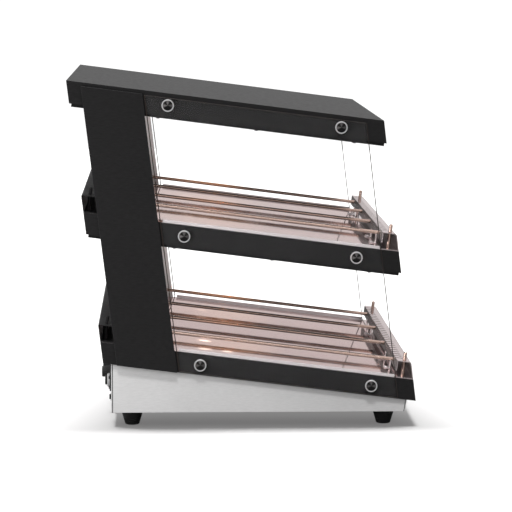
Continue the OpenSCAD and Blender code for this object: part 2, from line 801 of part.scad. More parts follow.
module control_plate() {
    color([0.1, 0.1, 0.11]) difference() {
        block([plate_x - plate_w / 2, plate_x + plate_w / 2], [base_rear_y, plate_face_y],
            [controls_z - plate_h / 2, controls_z + plate_h / 2]);
        translate([0, base_rear_y - overrun, 0]) {
            for (x = knob_x) translate([x, 0, controls_z])
                along_y(bushing_d + hole_clear, plate_t + 2 * overrun);
            translate([button_x, 0, controls_z]) along_y(barrel_d + hole_clear, plate_t + 2 * overrun);
            at_panel_screws() along_y(panel_screw_d + hole_clear, plate_t + 2 * overrun);
        }
    }
}

module panel_screws() {
    color([0.15, 0.15, 0.15]) translate([0, plate_face_y, 0]) at_panel_screws() {
        along_y(panel_screw_head_d, panel_screw_head_t);
        translate([0, -panel_screw_l, 0]) along_y(panel_screw_d, panel_screw_l + panel_screw_head_t / 2);
    }
}

// The two thermostats behind the rear wall, each with a threaded bushing through the plate
module deck_thermostats() {
    back = base_rear_y - skin;
    color([0.82, 0.8, 0.74]) for (x = knob_x) translate([x, 0, controls_z]) difference() {
        union() {
            block([-thermostat_w / 2, thermostat_w / 2], [back - thermostat_depth, back],
                [-thermostat_h / 2, thermostat_h / 2]);
            translate([0, back - overrun, 0])
                along_y(bushing_d, overrun + skin + plate_t + bushing_out);
        }
        translate([0, back - thermostat_depth / 2, 0])
            along_y(shaft_d + 2 * shaft_fit, thermostat_depth + plate_t + bushing_out);
    }
}

module heat_shaft(i) {
    back = base_rear_y - skin - thermostat_depth / 2 + overrun;
    color([0.78, 0.72, 0.5]) translate([knob_x[i], back, controls_z])
        along_y(shaft_d, plate_face_y + knob_gap + knob_l * 3 / 4 - back);
}

module heat_knob(i) {
    socket = plate_face_y + knob_gap;
    color([0.06, 0.06, 0.06]) translate([knob_x[i], socket, controls_z]) difference() {
        along_y(knob_d, knob_l);
        translate([0, -overrun, 0]) along_y(bushing_d + 2 * knob_gap, knob_socket + overrun);
        translate([0, -overrun, 0]) along_y(shaft_d, knob_l * 3 / 4 + overrun);
        for (n = [0 : knob_flutes - 1]) rotate([0, n * 360 / knob_flutes, 0])
            translate([knob_d / 2 + flute_d / 4, knob_socket / 2, 0]) along_y(flute_d, knob_l);
        translate([-flute_d / 4, knob_l - flute_d / 4, 0])
            cube([flute_d / 2, flute_d, knob_d]);
    }
}

module light_button_bezel() {
    bore = light_button_d + 2 * running_gap;
    color([0.85, 0.85, 0.86]) translate([button_x, plate_face_y, controls_z])
        rotate([-90, 0, 0]) rotate_extrude() polygon([[bore / 2, bezel_h],
            [bezel_d / 2 - bezel_h / 3, bezel_h], [bezel_d / 2, bezel_h * 2 / 3], [bezel_d / 2, 0],
            [barrel_d / 2, 0], [barrel_d / 2, -barrel_depth - overrun],
            [0, -barrel_depth - overrun], [0, -barrel_depth], [bore / 2, -barrel_depth]]);
}

module light_button() {
    color([0.16, 0.16, 0.17]) translate([button_x, plate_face_y + light_button_out, controls_z])
        rotate([90, 0, 0]) rotate_extrude() polygon([[0, 0], [light_button_d / 2 - overrun, 0],
            [light_button_d / 2, overrun], [light_button_d / 2, light_button_l], [0, light_button_l]]);
}

module at_switch() {
    translate([button_x, base_rear_y, foot_h + rocker_z]) children();
}

module switch_housing() {
    cavity = [switch_body[0] - 2 * switch_wall, switch_body[1] - 2 * switch_wall];
    color([0.05, 0.05, 0.05]) at_switch() difference() {
        union() {
            block([-switch_flange[0] / 2, switch_flange[0] / 2], [0, switch_flange_t],
                [-switch_flange[1] / 2, switch_flange[1] / 2]);
            block([-switch_body[0] / 2, switch_body[0] / 2], [-switch_depth, overrun],
                [-switch_body[1] / 2, switch_body[1] / 2]);
        }
        block([-cavity[0] / 2, cavity[0] / 2], [-switch_depth + 2 * switch_wall, switch_flange_t + overrun],
            [-cavity[1] / 2, cavity[1] / 2]);
        translate([0, -rocker_axis_depth, -cavity[1] / 2 - switch_wall / 2])
            cylinder(d = trunnion_d + 2 * shaft_fit, h = cavity[1] + switch_wall);
    }
}

// The rocker, drawn level and then turned to its off position
module power_rocker() {
    half = rocker_l / 2;
    pin_l = switch_body[1] - 2 * switch_wall + switch_wall - 2 * running_gap;
    color([0.04, 0.04, 0.04]) at_switch() translate([0, -rocker_axis_depth, 0])
        rotate([0, 0, -rocker_swing / 2]) {
            translate([0, 0, -rocker_h / 2]) linear_extrude(rocker_h)
                polygon([[-half, 0], [-half, rocker_rise + rocker_dish],
                    [0, rocker_rise], [half, rocker_rise + rocker_dish], [half, 0],
                    [half / 3, -rocker_rise], [-half / 3, -rocker_rise]]);
            translate([0, 0, -pin_l / 2]) cylinder(d = trunnion_d, h = pin_l);
        }
}

module cord_gland() {
    color([0.08, 0.08, 0.08]) translate([gland_x, base_rear_y, foot_h + gland_z])
        rotate([-90, 0, 0]) difference() {
            union() {
                cylinder(d = gland_flange_d, h = gland_flange_t, $fn = 6);
                translate([0, 0, -gland_barrel_l])
                    cylinder(d = gland_barrel_d, h = gland_barrel_l + overrun);
                translate([0, 0, gland_flange_t - overrun])
                    cylinder(d1 = gland_flange_d * 3 / 4, d2 = gland_nose_d, h = gland_nose_l + overrun);
                translate([0, 0, -skin - nut_h]) cylinder(d = gland_flange_d, h = nut_h, $fn = 6);
            }
            translate([0, 0, -gland_barrel_l - overrun])
                cylinder(d = gland_bore_d,
                    h = gland_barrel_l + gland_flange_t + gland_nose_l + 2 * overrun);
        }
}

module terminal_block() {
    size = terminal_size;
    color([0.9, 0.89, 0.84])
        translate([gland_x - size[0] / 2, base_rear_y - terminal_back - size[1] / 2, foot_h + skin]) {
            cube(size);
            for (i = [0 : terminal_poles - 1], y = [1 / 4, 3 / 4])
                translate([(i + 1 / 2) * size[0] / terminal_poles, y * size[1], size[2]])
                    cylinder(d = terminal_screw_d, h = terminal_screw_h);
        }
}

module divider_rod(k, i) {
    front = front_rail_y - rod_reach;
    rear = rear_rail_y + rod_reach;
    color([0.78, 0.68, 0.62]) on_level(k) translate([rod_x(i), front, rod_z])
        along_y(rod_d, rear - front);
}

canopy_cover();
lamp_pan(2);  // canopy_lamp_pan
lamp_pan(1);  // middle_lamp_pan
lamp_holders();
lamp_bulbs();
deck_frame(1);  // middle_deck_frame
tray(1);  // middle_tray
tray_trims(1);  // middle_tray_trims
heater_mat(1);  // middle_heater_mat
front_rail(1);  // middle_front_rail
rear_rail(1);  // middle_rear_rail
rail_pins(1);  // middle_rail_pins
rail_brackets(1);  // middle_rail_brackets
deck_frame(0);  // lower_deck_frame
tray(0);  // lower_tray
tray_trims(0);  // lower_tray_trims
heater_mat(0);  // lower_heater_mat
front_rail(0);  // lower_front_rail
rear_rail(0);  // lower_rear_rail
rail_pins(0);  // lower_rail_pins
rail_brackets(0);  // lower_rail_brackets
post_cover(-1);  // left_post_cover
post_cover(1);  // right_post_cover
post_liners();
post_wires();
wire_grommets();
side_glass(-1);  // left_side_glass
side_glass(1);  // right_side_glass
glass_gaskets();
glass_studs();
stud_nuts();
button_rings();
button_caps();
pan_screws();
base_housing();
base_bottom_plate();
rubber_feet();
foot_screws();
control_plate();
panel_screws();
deck_thermostats();
light_button_bezel();
switch_housing();
cord_gland();
terminal_block();
heat_shaft(0);  // middle_heat_shaft
heat_knob(0);  // middle_heat_knob
heat_shaft(1);  // lower_heat_shaft
heat_knob(1);  // lower_heat_knob
light_button();
power_rocker();
for (k = [1, 0], i = [0 : rod_count - 1])
    divider_rod(k, i);
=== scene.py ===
import json
import math
from functools import cache, partial

import bmesh
import bpy
from bpy.props import FloatProperty, FloatVectorProperty, IntProperty, PointerProperty
from mathutils import Matrix, Vector

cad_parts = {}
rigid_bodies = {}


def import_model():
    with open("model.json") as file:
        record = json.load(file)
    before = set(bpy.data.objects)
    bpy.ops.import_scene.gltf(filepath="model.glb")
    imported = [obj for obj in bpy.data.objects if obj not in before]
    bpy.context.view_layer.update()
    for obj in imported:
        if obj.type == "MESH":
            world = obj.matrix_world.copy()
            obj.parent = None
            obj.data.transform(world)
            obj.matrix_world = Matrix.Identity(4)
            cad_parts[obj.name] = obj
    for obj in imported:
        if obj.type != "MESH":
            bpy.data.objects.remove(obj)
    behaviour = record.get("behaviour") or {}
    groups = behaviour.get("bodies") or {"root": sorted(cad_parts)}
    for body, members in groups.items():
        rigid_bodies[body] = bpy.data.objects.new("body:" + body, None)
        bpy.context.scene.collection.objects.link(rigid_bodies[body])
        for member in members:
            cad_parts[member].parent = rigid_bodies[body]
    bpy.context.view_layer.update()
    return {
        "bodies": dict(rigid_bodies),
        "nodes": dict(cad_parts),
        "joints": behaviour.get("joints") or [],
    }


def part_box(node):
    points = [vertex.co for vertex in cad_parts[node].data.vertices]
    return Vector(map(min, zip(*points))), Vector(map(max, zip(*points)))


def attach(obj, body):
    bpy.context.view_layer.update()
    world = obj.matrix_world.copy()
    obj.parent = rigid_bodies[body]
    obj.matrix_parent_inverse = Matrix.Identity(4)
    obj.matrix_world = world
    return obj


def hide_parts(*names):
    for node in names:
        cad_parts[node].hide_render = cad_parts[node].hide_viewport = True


bl_info = {
    "name": "Pass-through food warmer",
    "version": (1, 0, 0),
    "blender": (4, 5, 0),
    "location": "3D View > Sidebar > Warmer",
    "description": "Finished sheet metal, glass, rails, rods, lamps and controls of a two-deck food warmer",
    "category": "Object",
}

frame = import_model()

DECKS = ("middle", "lower")
CABINET = "cabinet"
LEFT, RIGHT = Vector((-1, 0, 0)), Vector((1, 0, 0))
REAR, UP = Vector((0, 1, 0)), Vector((0, 0, 1))
# The rods lift square to the decks, so their joint gives the decks' own upward direction
DECK_UP = Vector(next(j["axis"] for j in frame["joints"] if j["name"].endswith("_lift"))).normalized()
DECK_REAR = RIGHT.cross(DECK_UP) * -1

# Corners this near to each other are one, in metres
WELD, FINE_WELD = 2e-6, 1e-7
# Faces that meet at less than the first angle are one face, and at more than the second a fold
NEARLY_FLAT, SHARP = math.radians(0.4), math.radians(32)
# The least and the greatest turn from one short edge of a round outline to the next
ROUND_TURNS = math.radians(0.3), math.radians(31)
# How much of a neighbouring edge's length a fold may take up
FOLD_SHARE = 0.42
# A face looks along a direction when its normal has this much of it, and squarely with this much
FACING, SQUARELY = 0.7, 0.9


class WarmerSheetSettings(bpy.types.PropertyGroup):
    """Sizes of the folds, seams and edges of the sheet metal and glass."""
    fold: FloatProperty(name="Fold radius", description="Radius of a folded sheet edge",
                        default=0.0006, min=0.0002, max=0.003, unit="LENGTH", precision=5)
    thin_fold: FloatProperty(name="Fine edge", description="Radius of the edges of thin strips and tabs",
                             default=0.00025, min=0.0001, max=0.001, unit="LENGTH", precision=5)
    fold_steps: IntProperty(name="Fold steps", description="Facets across a fold", default=3, min=1, max=6)
    seam_width: FloatProperty(name="Seam width", description="Width of the gap between two panels",
                              default=0.0013, min=0.0003, max=0.002, unit="LENGTH", precision=5)
    seam_depth: FloatProperty(name="Seam depth", description="Depth of the gap between two panels",
                              default=0.0009, min=0.0002, max=0.0012, unit="LENGTH", precision=5)
    seam_inset: FloatProperty(name="Seam inset", description="Distance of the base's seams from its ends",
                              default=0.0024, min=0.0015, max=0.01, unit="LENGTH", precision=5)
    glass_arris: FloatProperty(name="Glass arris", description="Width of the ground edge of the glass",
                               default=0.0014, min=0.0003, max=0.0015, unit="LENGTH", precision=5)


class WarmerHardwareSettings(bpy.types.PropertyGroup):
    """Sizes of the rods, screws, knobs and marks."""
    rod_chamfer: FloatProperty(name="Rod chamfer", description="Chamfer at a rod's ends",
                               default=0.0006, min=0.0002, max=0.0015, unit="LENGTH", precision=5)
    round_steps: IntProperty(name="Round steps", description="Facets round a turned piece",
                             default=48, min=24, max=96)
    knob_flutes: IntProperty(name="Knob flutes", description="Number of flutes round a knob",
                             default=18, min=8, max=32)
    flute_depth: FloatProperty(name="Flute depth", description="Depth of a knob's flutes",
                               default=0.0007, min=0.0002, max=0.0015, unit="LENGTH", precision=5)
    dial_top: IntProperty(name="Highest mark", description="Highest number on a dial",
                          default=5, min=3, max=9)
    mark_raise: FloatProperty(name="Mark height", description="How far printed marks stand off the plate",
                              default=0.00012, min=0.00005, max=0.0003, unit="LENGTH", precision=6)
    number_size: FloatProperty(name="Number size", description="Height of the dial numbers",
                               default=0.0026, min=0.0015, max=0.004, unit="LENGTH", precision=5)
    filament_turns: IntProperty(name="Filament turns", description="Turns of a lamp's filament",
                                default=14, min=6, max=24)


class WarmerColourSettings(bpy.types.PropertyGroup):
    """Colours of the finishes, as linear values."""
    coat: FloatVectorProperty(name="Black coat", description="Powder coat of the canopy, decks and posts",
                              subtype="COLOR", default=(0.0122, 0.0118, 0.0121), min=0, max=1)
    base: FloatVectorProperty(name="Base coat", description="Grey textured coat of the base",
                              subtype="COLOR", default=(0.555, 0.55, 0.55), min=0, max=1)
    steel: FloatVectorProperty(name="Polished steel", description="Trays and front rails",
                               subtype="COLOR", default=(0.55, 0.51, 0.51), min=0, max=1)
    # Its warm brown tint is a painted reflection of the lamps' warm light
    rod: FloatVectorProperty(name="Rod steel", description="Divider rods and rail pins",
                             subtype="COLOR", default=(0.56, 0.405, 0.345), min=0, max=1)
    lamp: FloatVectorProperty(name="Lamp light", description="Colour of the lit filaments",
                              subtype="COLOR", default=(1.0, 0.55, 0.24), min=0, max=1)
    # The glass edge's colour is painted shade for the dark look of the glass's thickness
    glass_edge: FloatVectorProperty(name="Glass edge",
                                    description="Colour seen in the ground edge of the glass",
                                    subtype="COLOR", default=(0.022, 0.016, 0.014), min=0, max=1)


class WarmerStageSettings(bpy.types.PropertyGroup):
    """Camera, floor and light."""
    lens: FloatProperty(name="Lens", description="Focal length on a 36 mm wide frame",
                        default=158, min=50, max=300, unit="CAMERA")
    eye: FloatVectorProperty(name="Eye", description="Place of the camera", subtype="XYZ",
                             default=(-4.294, 0.1392, 0.811), unit="LENGTH")
    heading: FloatProperty(name="Heading", description="Turn of the camera from +X towards -Y",
                           default=math.radians(2.35), subtype="ANGLE")
    pitch: FloatProperty(name="Pitch", description="Downward turn of the camera",
                         default=math.radians(7.23), subtype="ANGLE")
    roll: FloatProperty(name="Roll", description="Turn of the camera about its line of sight",
                        default=math.radians(0.15), subtype="ANGLE")
    floor_radius: FloatProperty(name="Floor radius", description="Radius of the pale floor",
                                default=6, min=3, max=50, unit="LENGTH")
    key: FloatProperty(name="Key light", description="Strength of the soft light over the camera",
                       default=1.6, min=0, max=10)
    top: FloatProperty(name="Top light", description="Strength of the soft light overhead",
                       default=0.7, min=0, max=10)
    floor_light: FloatProperty(name="Floor light", description="Strength of the light that draws the shadow",
                               default=3.1, min=0, max=30)
    floor_tilt: FloatProperty(name="Floor light tilt", description="Lean of that light away from the camera",
                              default=math.radians(3.3), subtype="ANGLE")
    side: FloatProperty(name="Side light", description="Power of the soft box at the rear left",
                        default=5.0, min=0, max=50, unit="POWER")
    ambient: FloatProperty(name="Ambient light", description="Strength of the even light from all round",
                           default=0.55, min=0, max=2)


GROUPS = {"warmer_sheet": WarmerSheetSettings, "warmer_hardware": WarmerHardwareSettings,
          "warmer_colours": WarmerColourSettings, "warmer_stage": WarmerStageSettings}


def settings(name):
    return getattr(bpy.context.scene, "warmer_" + name)


# Mesh helpers

def add_object(name, data):
    made = bpy.data.objects.new(name, data)
    bpy.context.scene.collection.objects.link(made)
    return made


def object_from(bm, name):
    """A new object with the mesh that bm holds, whose faces point outwards."""
    bmesh.ops.recalc_face_normals(bm, faces=bm.faces)
    mesh = bpy.data.meshes.new(name)
    close_mesh(bm, mesh)
    return add_object(name, mesh)


def open_mesh(mesh):
    bm = bmesh.new()
    bm.from_mesh(mesh)
    return bm


def close_mesh(bm, mesh):
    bm.to_mesh(mesh)
    bm.free()


def welded(node):
    """The solids of a CAD node, with the corners joined that share a place."""
    bm = open_mesh(frame["nodes"][node].data)
    bmesh.ops.remove_doubles(bm, verts=bm.verts, dist=WELD)
    return bm


def cad_copy(node):
    """The welded solids of a CAD node, with the faces joined that lie in one plane."""
    bm = welded(node)
    bmesh.ops.dissolve_limit(bm, angle_limit=NEARLY_FLAT, verts=bm.verts, edges=bm.edges)
    return bm


def corners(node):
    return [vert.co for vert in frame["nodes"][node].data.vertices]


def islands(node):
    """The corners of each separate solid in a CAD node."""
    bm = welded(node)
    seen, found = set(), []
    for first in bm.verts:
        if first in seen:
            continue
        seen.add(first)
        reached = [first]
        for vert in reached:
            for edge in vert.link_edges:
                other = edge.other_vert(vert)
                if other not in seen:
                    seen.add(other)
                    reached.append(other)
        found.append([vert.co.copy() for vert in reached])
    bm.free()
    return found


def middle(points, along=None):
    """The middle of a cloud's box, or its middle moved to its lowest reach along a direction."""
    lo = Vector(min(p[i] for p in points) for i in range(3))
    hi = Vector(max(p[i] for p in points) for i in range(3))
    centre = (lo + hi) / 2
    if along is None:
        return centre
    reach = min(p.dot(along) for p in points)
    return centre + along * (reach - centre.dot(along))


def extent(points, direction):
    values = [p.dot(direction) for p in points]
    return max(values) - min(values)


def outward(points):
    """The direction from the warmer's middle to the side on which the points lie."""
    return RIGHT if middle(points).x > 0 else LEFT


def keep_evaluated(piece):
    """Replaces a piece's mesh by its evaluated one and takes its modifiers off."""
    graph = bpy.context.evaluated_depsgraph_get()
    graph.update()
    mesh = bpy.data.meshes.new_from_object(piece.evaluated_get(graph))
    piece.modifiers.clear()
    piece.data = mesh


def give(mesh, *finishes):
    """Replaces a mesh's finishes."""
    mesh.materials.clear()
    for finish in finishes:
        mesh.materials.append(finish)


def second_finish(piece, key, belongs):
    """Adds a finish to a piece, for the faces that belong to it."""
    piece.data.materials.append(finish_of(key))
    for face in piece.data.polygons:
        if belongs(face):
            face.material_index = 1


def shade(piece, angle=38):
    """Smooth shading that stays crisp over sharp edges, with flat faces kept flat."""
    smooth_below(piece.data, angle)
    weighted = piece.modifiers.new("flat_faces", "WEIGHTED_NORMAL")
    weighted.keep_sharp = True
    weighted.weight = 100
    return piece


def smooth_below(mesh, angle):
    """Smooth shading over the edges that bend by less than an angle in degrees."""
    mesh.shade_smooth()
    mesh.set_sharp_from_angle(angle=math.radians(angle))


def fold_edges(piece, radius, steps):
    """Rounds the sharp edges, with a smaller radius on thin sheet and round the rims of holes."""
    bm = open_mesh(piece.data)
    weight = bm.edges.layers.float.new("bevel_weight_edge")
    sharp = {edge for edge in bm.edges if edge.calc_face_angle(0) > SHARP}
    fine_fold = settings("sheet").thin_fold
    for edge in sharp:
        if all(any(bends(edge, other) for other in vert.link_edges if other in sharp) for vert in edge.verts):
            limit = fine_fold
        else:
            beside = [other.calc_length() for vert in edge.verts for other in vert.link_edges
                      if other is not edge and other in sharp]
            limit = FOLD_SHARE * min(beside, default=radius)
        edge[weight] = min(1, limit / radius)
    close_mesh(bm, piece.data)
    finishes = list(piece.data.materials)
    # The fold's faces get the second of two empty finishes, which tells them apart afterwards
    give(piece.data, None, None)
    bevel = piece.modifiers.new("fold", "BEVEL")
    bevel.width = radius
    bevel.segments = steps
    bevel.limit_method = "WEIGHT"
    bevel.use_clamp_overlap = False
    bevel.material = 1
    keep_evaluated(piece)
    mesh = piece.data
    mark_worn(mesh, [float(face.material_index == 1) for face in mesh.polygons])
    mesh.polygons.foreach_set("material_index", [0] * len(mesh.polygons))
    give(mesh, *finishes)


def mark_worn(mesh, values):
    """Notes for each face how far its colour is lightened: for wear on the folds, and for a painted sheen on
    the caps.
    """
    mesh.attributes.new("worn", "FLOAT", "FACE").data.foreach_set("value", values)


def bends(edge, other):
    """Whether another edge carries on from an edge with the small turn that a round outline has."""
    if other is edge:
        return False
    one, two = (e.verts[0].co - e.verts[1].co for e in (edge, other))
    turn = one.angle(two)
    least, most = ROUND_TURNS
    return least < min(turn, math.pi - turn) < most


def fit_out(piece, finish, body, nodes=()):
    """Gives a piece its finish and its body, and hides the CAD nodes that it stands for."""
    if finish is not None:
        give(piece.data, finish)
    if nodes:
        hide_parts(*nodes)
    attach(piece, body)
    return piece


def folded(node, name, slot, radius=None, body=CABINET, finish=None, steps=None):
    """A CAD piece with its edges rounded as folded or machined metal is."""
    sheet = settings("sheet")
    piece = object_from(cad_copy(node), name)
    fold_edges(piece, sheet.fold if radius is None else radius, steps or sheet.fold_steps)
    shade(piece)
    return fit_out(piece, finish_of(finish or slot), body, [node])


def dress(slots):
    """CAD nodes whose shape is right as it is get their finishes."""
    for node, slot in slots.items():
        give(frame["nodes"][node].data, finish_of(slot))


def turned(profile, steps, shape=None):
    """A closed solid of revolution about +Z from (radius, height) points. A shape varies its radius."""
    bm = bmesh.new()
    rings = []
    for radius, height in profile:
        if rings and (radius, height) == profile[0]:
            rings.append(rings[0])
            continue
        if radius == 0:
            rings.append([bm.verts.new((0, 0, height))])
            continue
        ring = []
        for step in range(steps):
            angle = 2 * math.pi * step / steps
            r = radius * (shape(angle, radius, height) if shape else 1)
            ring.append(bm.verts.new((r * math.cos(angle), r * math.sin(angle), height)))
        rings.append(ring)
    for low, high in zip(rings, rings[1:]):
        if len(low) == len(high) == 1:
            continue
        for step in range(steps):
            following = (step + 1) % steps
            loop = [low[step % len(low)], low[following % len(low)],
                    high[following % len(high)], high[step % len(high)]]
            bm.faces.new(list(dict.fromkeys(loop)))
    return bm


def scaled(radius, height, *shares):
    """The (radius, height) points of a profile, from their shares of a piece's radius and height."""
    return [(radius * across, height * up) for across, up in shares]


def prism(outline, low, high):
    """A solid with a flat outline of (x, y) points between two heights."""
    bm = bmesh.new()
    lower, upper = ([bm.verts.new((x, y, z)) for x, y in outline] for z in (low, high))
    bm.faces.new(lower[::-1])
    bm.faces.new(upper)
    wall_between(bm, lower, upper)
    return bm


def wall_between(bm, low, high):
    """Faces from one closed row of corners to the next."""
    for a in range(len(low)):
        b = (a + 1) % len(low)
        bm.faces.new([low[a], low[b], high[b], high[a]])


def place_along(axis, origin, up=UP):
    """The matrix that stands +Z on an axis at an origin, with +Y as near up as it goes."""
    z = Vector(axis).normalized()
    y = up - z * up.dot(z)
    y = (RIGHT - z * RIGHT.dot(z)).normalized() if y.length < 1e-6 else y.normalized()
    x = y.cross(z)
    return Matrix.Translation(origin) @ Matrix((x, y, z)).transposed().to_4x4()


def stood(points, axis):
    """The matrix that stands +Z on an axis, where the points begin along it."""
    return place_along(axis, middle(points, axis))


# Node helpers

def put(tree, socket, value):
    """Links an output to a socket, or sets the socket to a value."""
    if hasattr(value, "is_output"):
        tree.links.new(value, socket)
    elif socket.type == "RGBA":
        socket.default_value = (*value, 1)
    else:
        socket.default_value = value


def add_node(tree, kind, inputs, **options):
    """A new node with its options set, and each of its inputs set or linked."""
    node = tree.nodes.new(kind)
    for name, value in options.items():
        setattr(node, name, value)
    for label, value in inputs.items():
        put(tree, node.inputs[label], value)
    return node


def node_group(name, kind, inputs, outputs, build):
    """A node group with sockets given by name, kind and any default, built once."""
    if name in bpy.data.node_groups:
        return bpy.data.node_groups[name]
    tree = bpy.data.node_groups.new(name, kind)
    for direction, sockets in (("INPUT", inputs), ("OUTPUT", outputs)):
        for label, holds, *default in sockets:
            socket = tree.interface.new_socket(label, in_out=direction, socket_type="NodeSocket" + holds)
            if default:
                socket.default_value = default[0]
    build(tree, tree.nodes.new("NodeGroupInput").outputs, tree.nodes.new("NodeGroupOutput").inputs)
    return tree


# Geometry Nodes

def copies_tree():
    """Puts a turned copy of a template on every point, then makes the copies real and finishes them."""
    def build(tree, given, out):
        template = add_node(tree, "GeometryNodeObjectInfo", {"Object": given["Template"]})
        turn = add_node(tree, "GeometryNodeInputNamedAttribute", {"Name": "turn"}, data_type="FLOAT_VECTOR")
        rotation = add_node(tree, "FunctionNodeEulerToRotation", {"Euler": turn.outputs["Attribute"]})
        placed = add_node(tree, "GeometryNodeInstanceOnPoints", {
            "Points": given["Places"], "Instance": template.outputs["Geometry"],
            "Rotation": rotation.outputs["Rotation"], "Scale": given["Size"]})
        real = add_node(tree, "GeometryNodeRealizeInstances", {"Geometry": placed.outputs["Instances"]})
        dressed = add_node(tree, "GeometryNodeSetMaterial", {"Geometry": real.outputs["Geometry"],
                                                             "Material": given["Finish"]})
        put(tree, out["Copies"], dressed.outputs["Geometry"])
    return node_group("warmer_copies", "GeometryNodeTree",
                      [("Places", "Geometry"), ("Template", "Object"), ("Finish", "Material"),
                       ("Size", "Float", 1.0)], [("Copies", "Geometry")], build)


def set_inputs(modifier, **values):
    for item in modifier.node_group.interface.items_tree:
        if item.item_type == "SOCKET" and item.in_out == "INPUT" and item.name in values:
            modifier[item.identifier] = values[item.name]


def copies(name, template, places, key, nodes=(), smooth=38):
    """One piece with a copy of the template at each place matrix, in a finish that may be a slot's."""
    mesh = bpy.data.meshes.new(name)
    mesh.from_pydata([m.translation for m in places], [], [])
    turns = mesh.attributes.new("turn", "FLOAT_VECTOR", "POINT")
    turns.data.foreach_set("vector", [a for m in places for a in m.to_euler("XYZ")])
    piece = add_object(name, mesh)
    modifier = piece.modifiers.new("copies", "NODES")
    modifier.node_group = copies_tree()
    set_inputs(modifier, Template=template, Finish=finish_of(key), Size=1.0)
    keep_evaluated(piece)
    bpy.data.objects.remove(template)
    piece.data.polygons.foreach_set("material_index", [0] * len(piece.data.polygons))
    smooth_below(piece.data, smooth)
    return fit_out(piece, finish_of(key), CABINET, nodes)


# Finishes

def noise(tree, vector, scale, detail, roughness=0.5):
    return add_node(tree, "ShaderNodeTexNoise", {"Vector": vector, "Scale": scale, "Detail": detail,
                                                 "Roughness": roughness}).outputs["Fac"]


def remap(tree, value, low, high, to_low, to_high):
    return add_node(tree, "ShaderNodeMapRange", {"Value": value, "From Min": low, "From Max": high,
                                                 "To Min": to_low, "To Max": to_high}).outputs["Result"]


def maths(tree, operation, a, b=None, clamp=False):
    inputs = {0: a} if b is None else {0: a, 1: b}
    return add_node(tree, "ShaderNodeMath", inputs, operation=operation, use_clamp=clamp).outputs[0]


def product(tree, a, b, clamp=False):
    return maths(tree, "MULTIPLY", a, b, clamp)


def total(tree, a, b, clamp=False):
    return maths(tree, "ADD", a, b, clamp)


def stretched(tree, vector, by):
    return add_node(tree, "ShaderNodeVectorMath", {0: vector, 1: by}, operation="MULTIPLY").outputs["Vector"]


def axis_of(tree, vector, axis):
    return add_node(tree, "ShaderNodeSeparateXYZ", {"Vector": vector}).outputs[axis]


def straight_view(tree):
    """1 for rays that came from the camera with nothing but glass in between, else 0."""
    rays = tree.nodes.new("ShaderNodeLightPath").outputs
    return maths(tree, "LESS_THAN", total(tree, rays["Diffuse Depth"], rays["Glossy Depth"]), 0.5)


def mixed(tree, factor, a, b, blend="MIX"):
    return add_node(tree, "ShaderNodeMix", {"Factor": factor, "A": a, "B": b}, data_type="RGBA",
                    blend_type=blend).outputs["Result"]


def tinted(tree, colour, factor):
    """A colour multiplied by a grey factor."""
    return mixed(tree, 1, colour, factor, "MULTIPLY")


SURFACE = [("Colour", "Color"), ("Roughness", "Float"), ("Height", "Float")]
DUST = (0.2, 0.19, 0.19)
STREAKS = (90, 90, 620)


def coat_grain():
    """The fine orange peel of a powder coat, its faint streaks, and dust where a face looks up."""
    def build(tree, given, out):
        cloud = noise(tree, given["Vector"], scale=9, detail=3)
        streak = noise(tree, stretched(tree, given["Vector"], STREAKS), scale=1, detail=3, roughness=0.7)
        normal = tree.nodes.new("ShaderNodeNewGeometry").outputs["Normal"]
        looks_up = remap(tree, axis_of(tree, normal, "Z"), 0.6, 1.0, 0, 1)
        dusty = product(tree, looks_up, remap(tree, cloud, 0.35, 0.7, 0.4, 1))
        dust = product(tree, dusty, given["Dust"])
        speckle = product(tree, maths(tree, "SUBTRACT", streak, 0.5), given["Speckle"])
        shift = total(tree, remap(tree, cloud, 0.3, 0.7, 0.975, 1.025), speckle)
        put(tree, out["Colour"], mixed(tree, dust, tinted(tree, given["Colour"], shift), DUST))
        rough = total(tree, given["Roughness"], remap(tree, streak, 0.3, 0.7, -0.05, 0.05))
        put(tree, out["Roughness"], total(tree, rough, product(tree, dust, 0.4)))
        put(tree, out["Height"], noise(tree, given["Vector"], given["Grain Scale"], detail=1.5))
    return node_group("warmer_coat_grain", "ShaderNodeTree",
                      [("Vector", "Vector"), ("Colour", "Color", (0.02, 0.02, 0.02, 1)),
                       ("Grain Scale", "Float", 1500.0), ("Roughness", "Float", 0.5),
                       ("Speckle", "Float", 0.1), ("Dust", "Float", 0.03)], SURFACE, build)


def drawn_lines():
    """The faint lines that rolling or drawing leaves in bright metal, with soft smears over them."""
    def build(tree, given, out):
        drawn = stretched(tree, given["Vector"], given["Stretch"])
        lines = noise(tree, drawn, scale=1, detail=4, roughness=0.65)
        smear = noise(tree, given["Vector"], scale=14, detail=3)
        put(tree, out["Colour"], tinted(tree, given["Colour"], remap(tree, smear, 0.3, 0.7, 0.95, 1.03)))
        spread = product(tree, maths(tree, "SUBTRACT", lines, 0.5), given["Contrast"])
        smeared = product(tree, remap(tree, smear, 0.45, 0.75, 0, 1), given["Smear"])
        rough = total(tree, total(tree, given["Roughness"], spread), smeared, clamp=True)
        put(tree, out["Roughness"], rough)
        put(tree, out["Height"], lines)
    return node_group("warmer_drawn_lines", "ShaderNodeTree",
                      [("Vector", "Vector"), ("Colour", "Color", (0.6, 0.6, 0.6, 1)),
                       ("Stretch", "Vector", (40.0, 2500.0, 2500.0)), ("Roughness", "Float", 0.15),
                       ("Contrast", "Float", 0.1), ("Smear", "Float", 0.05)], SURFACE, build)


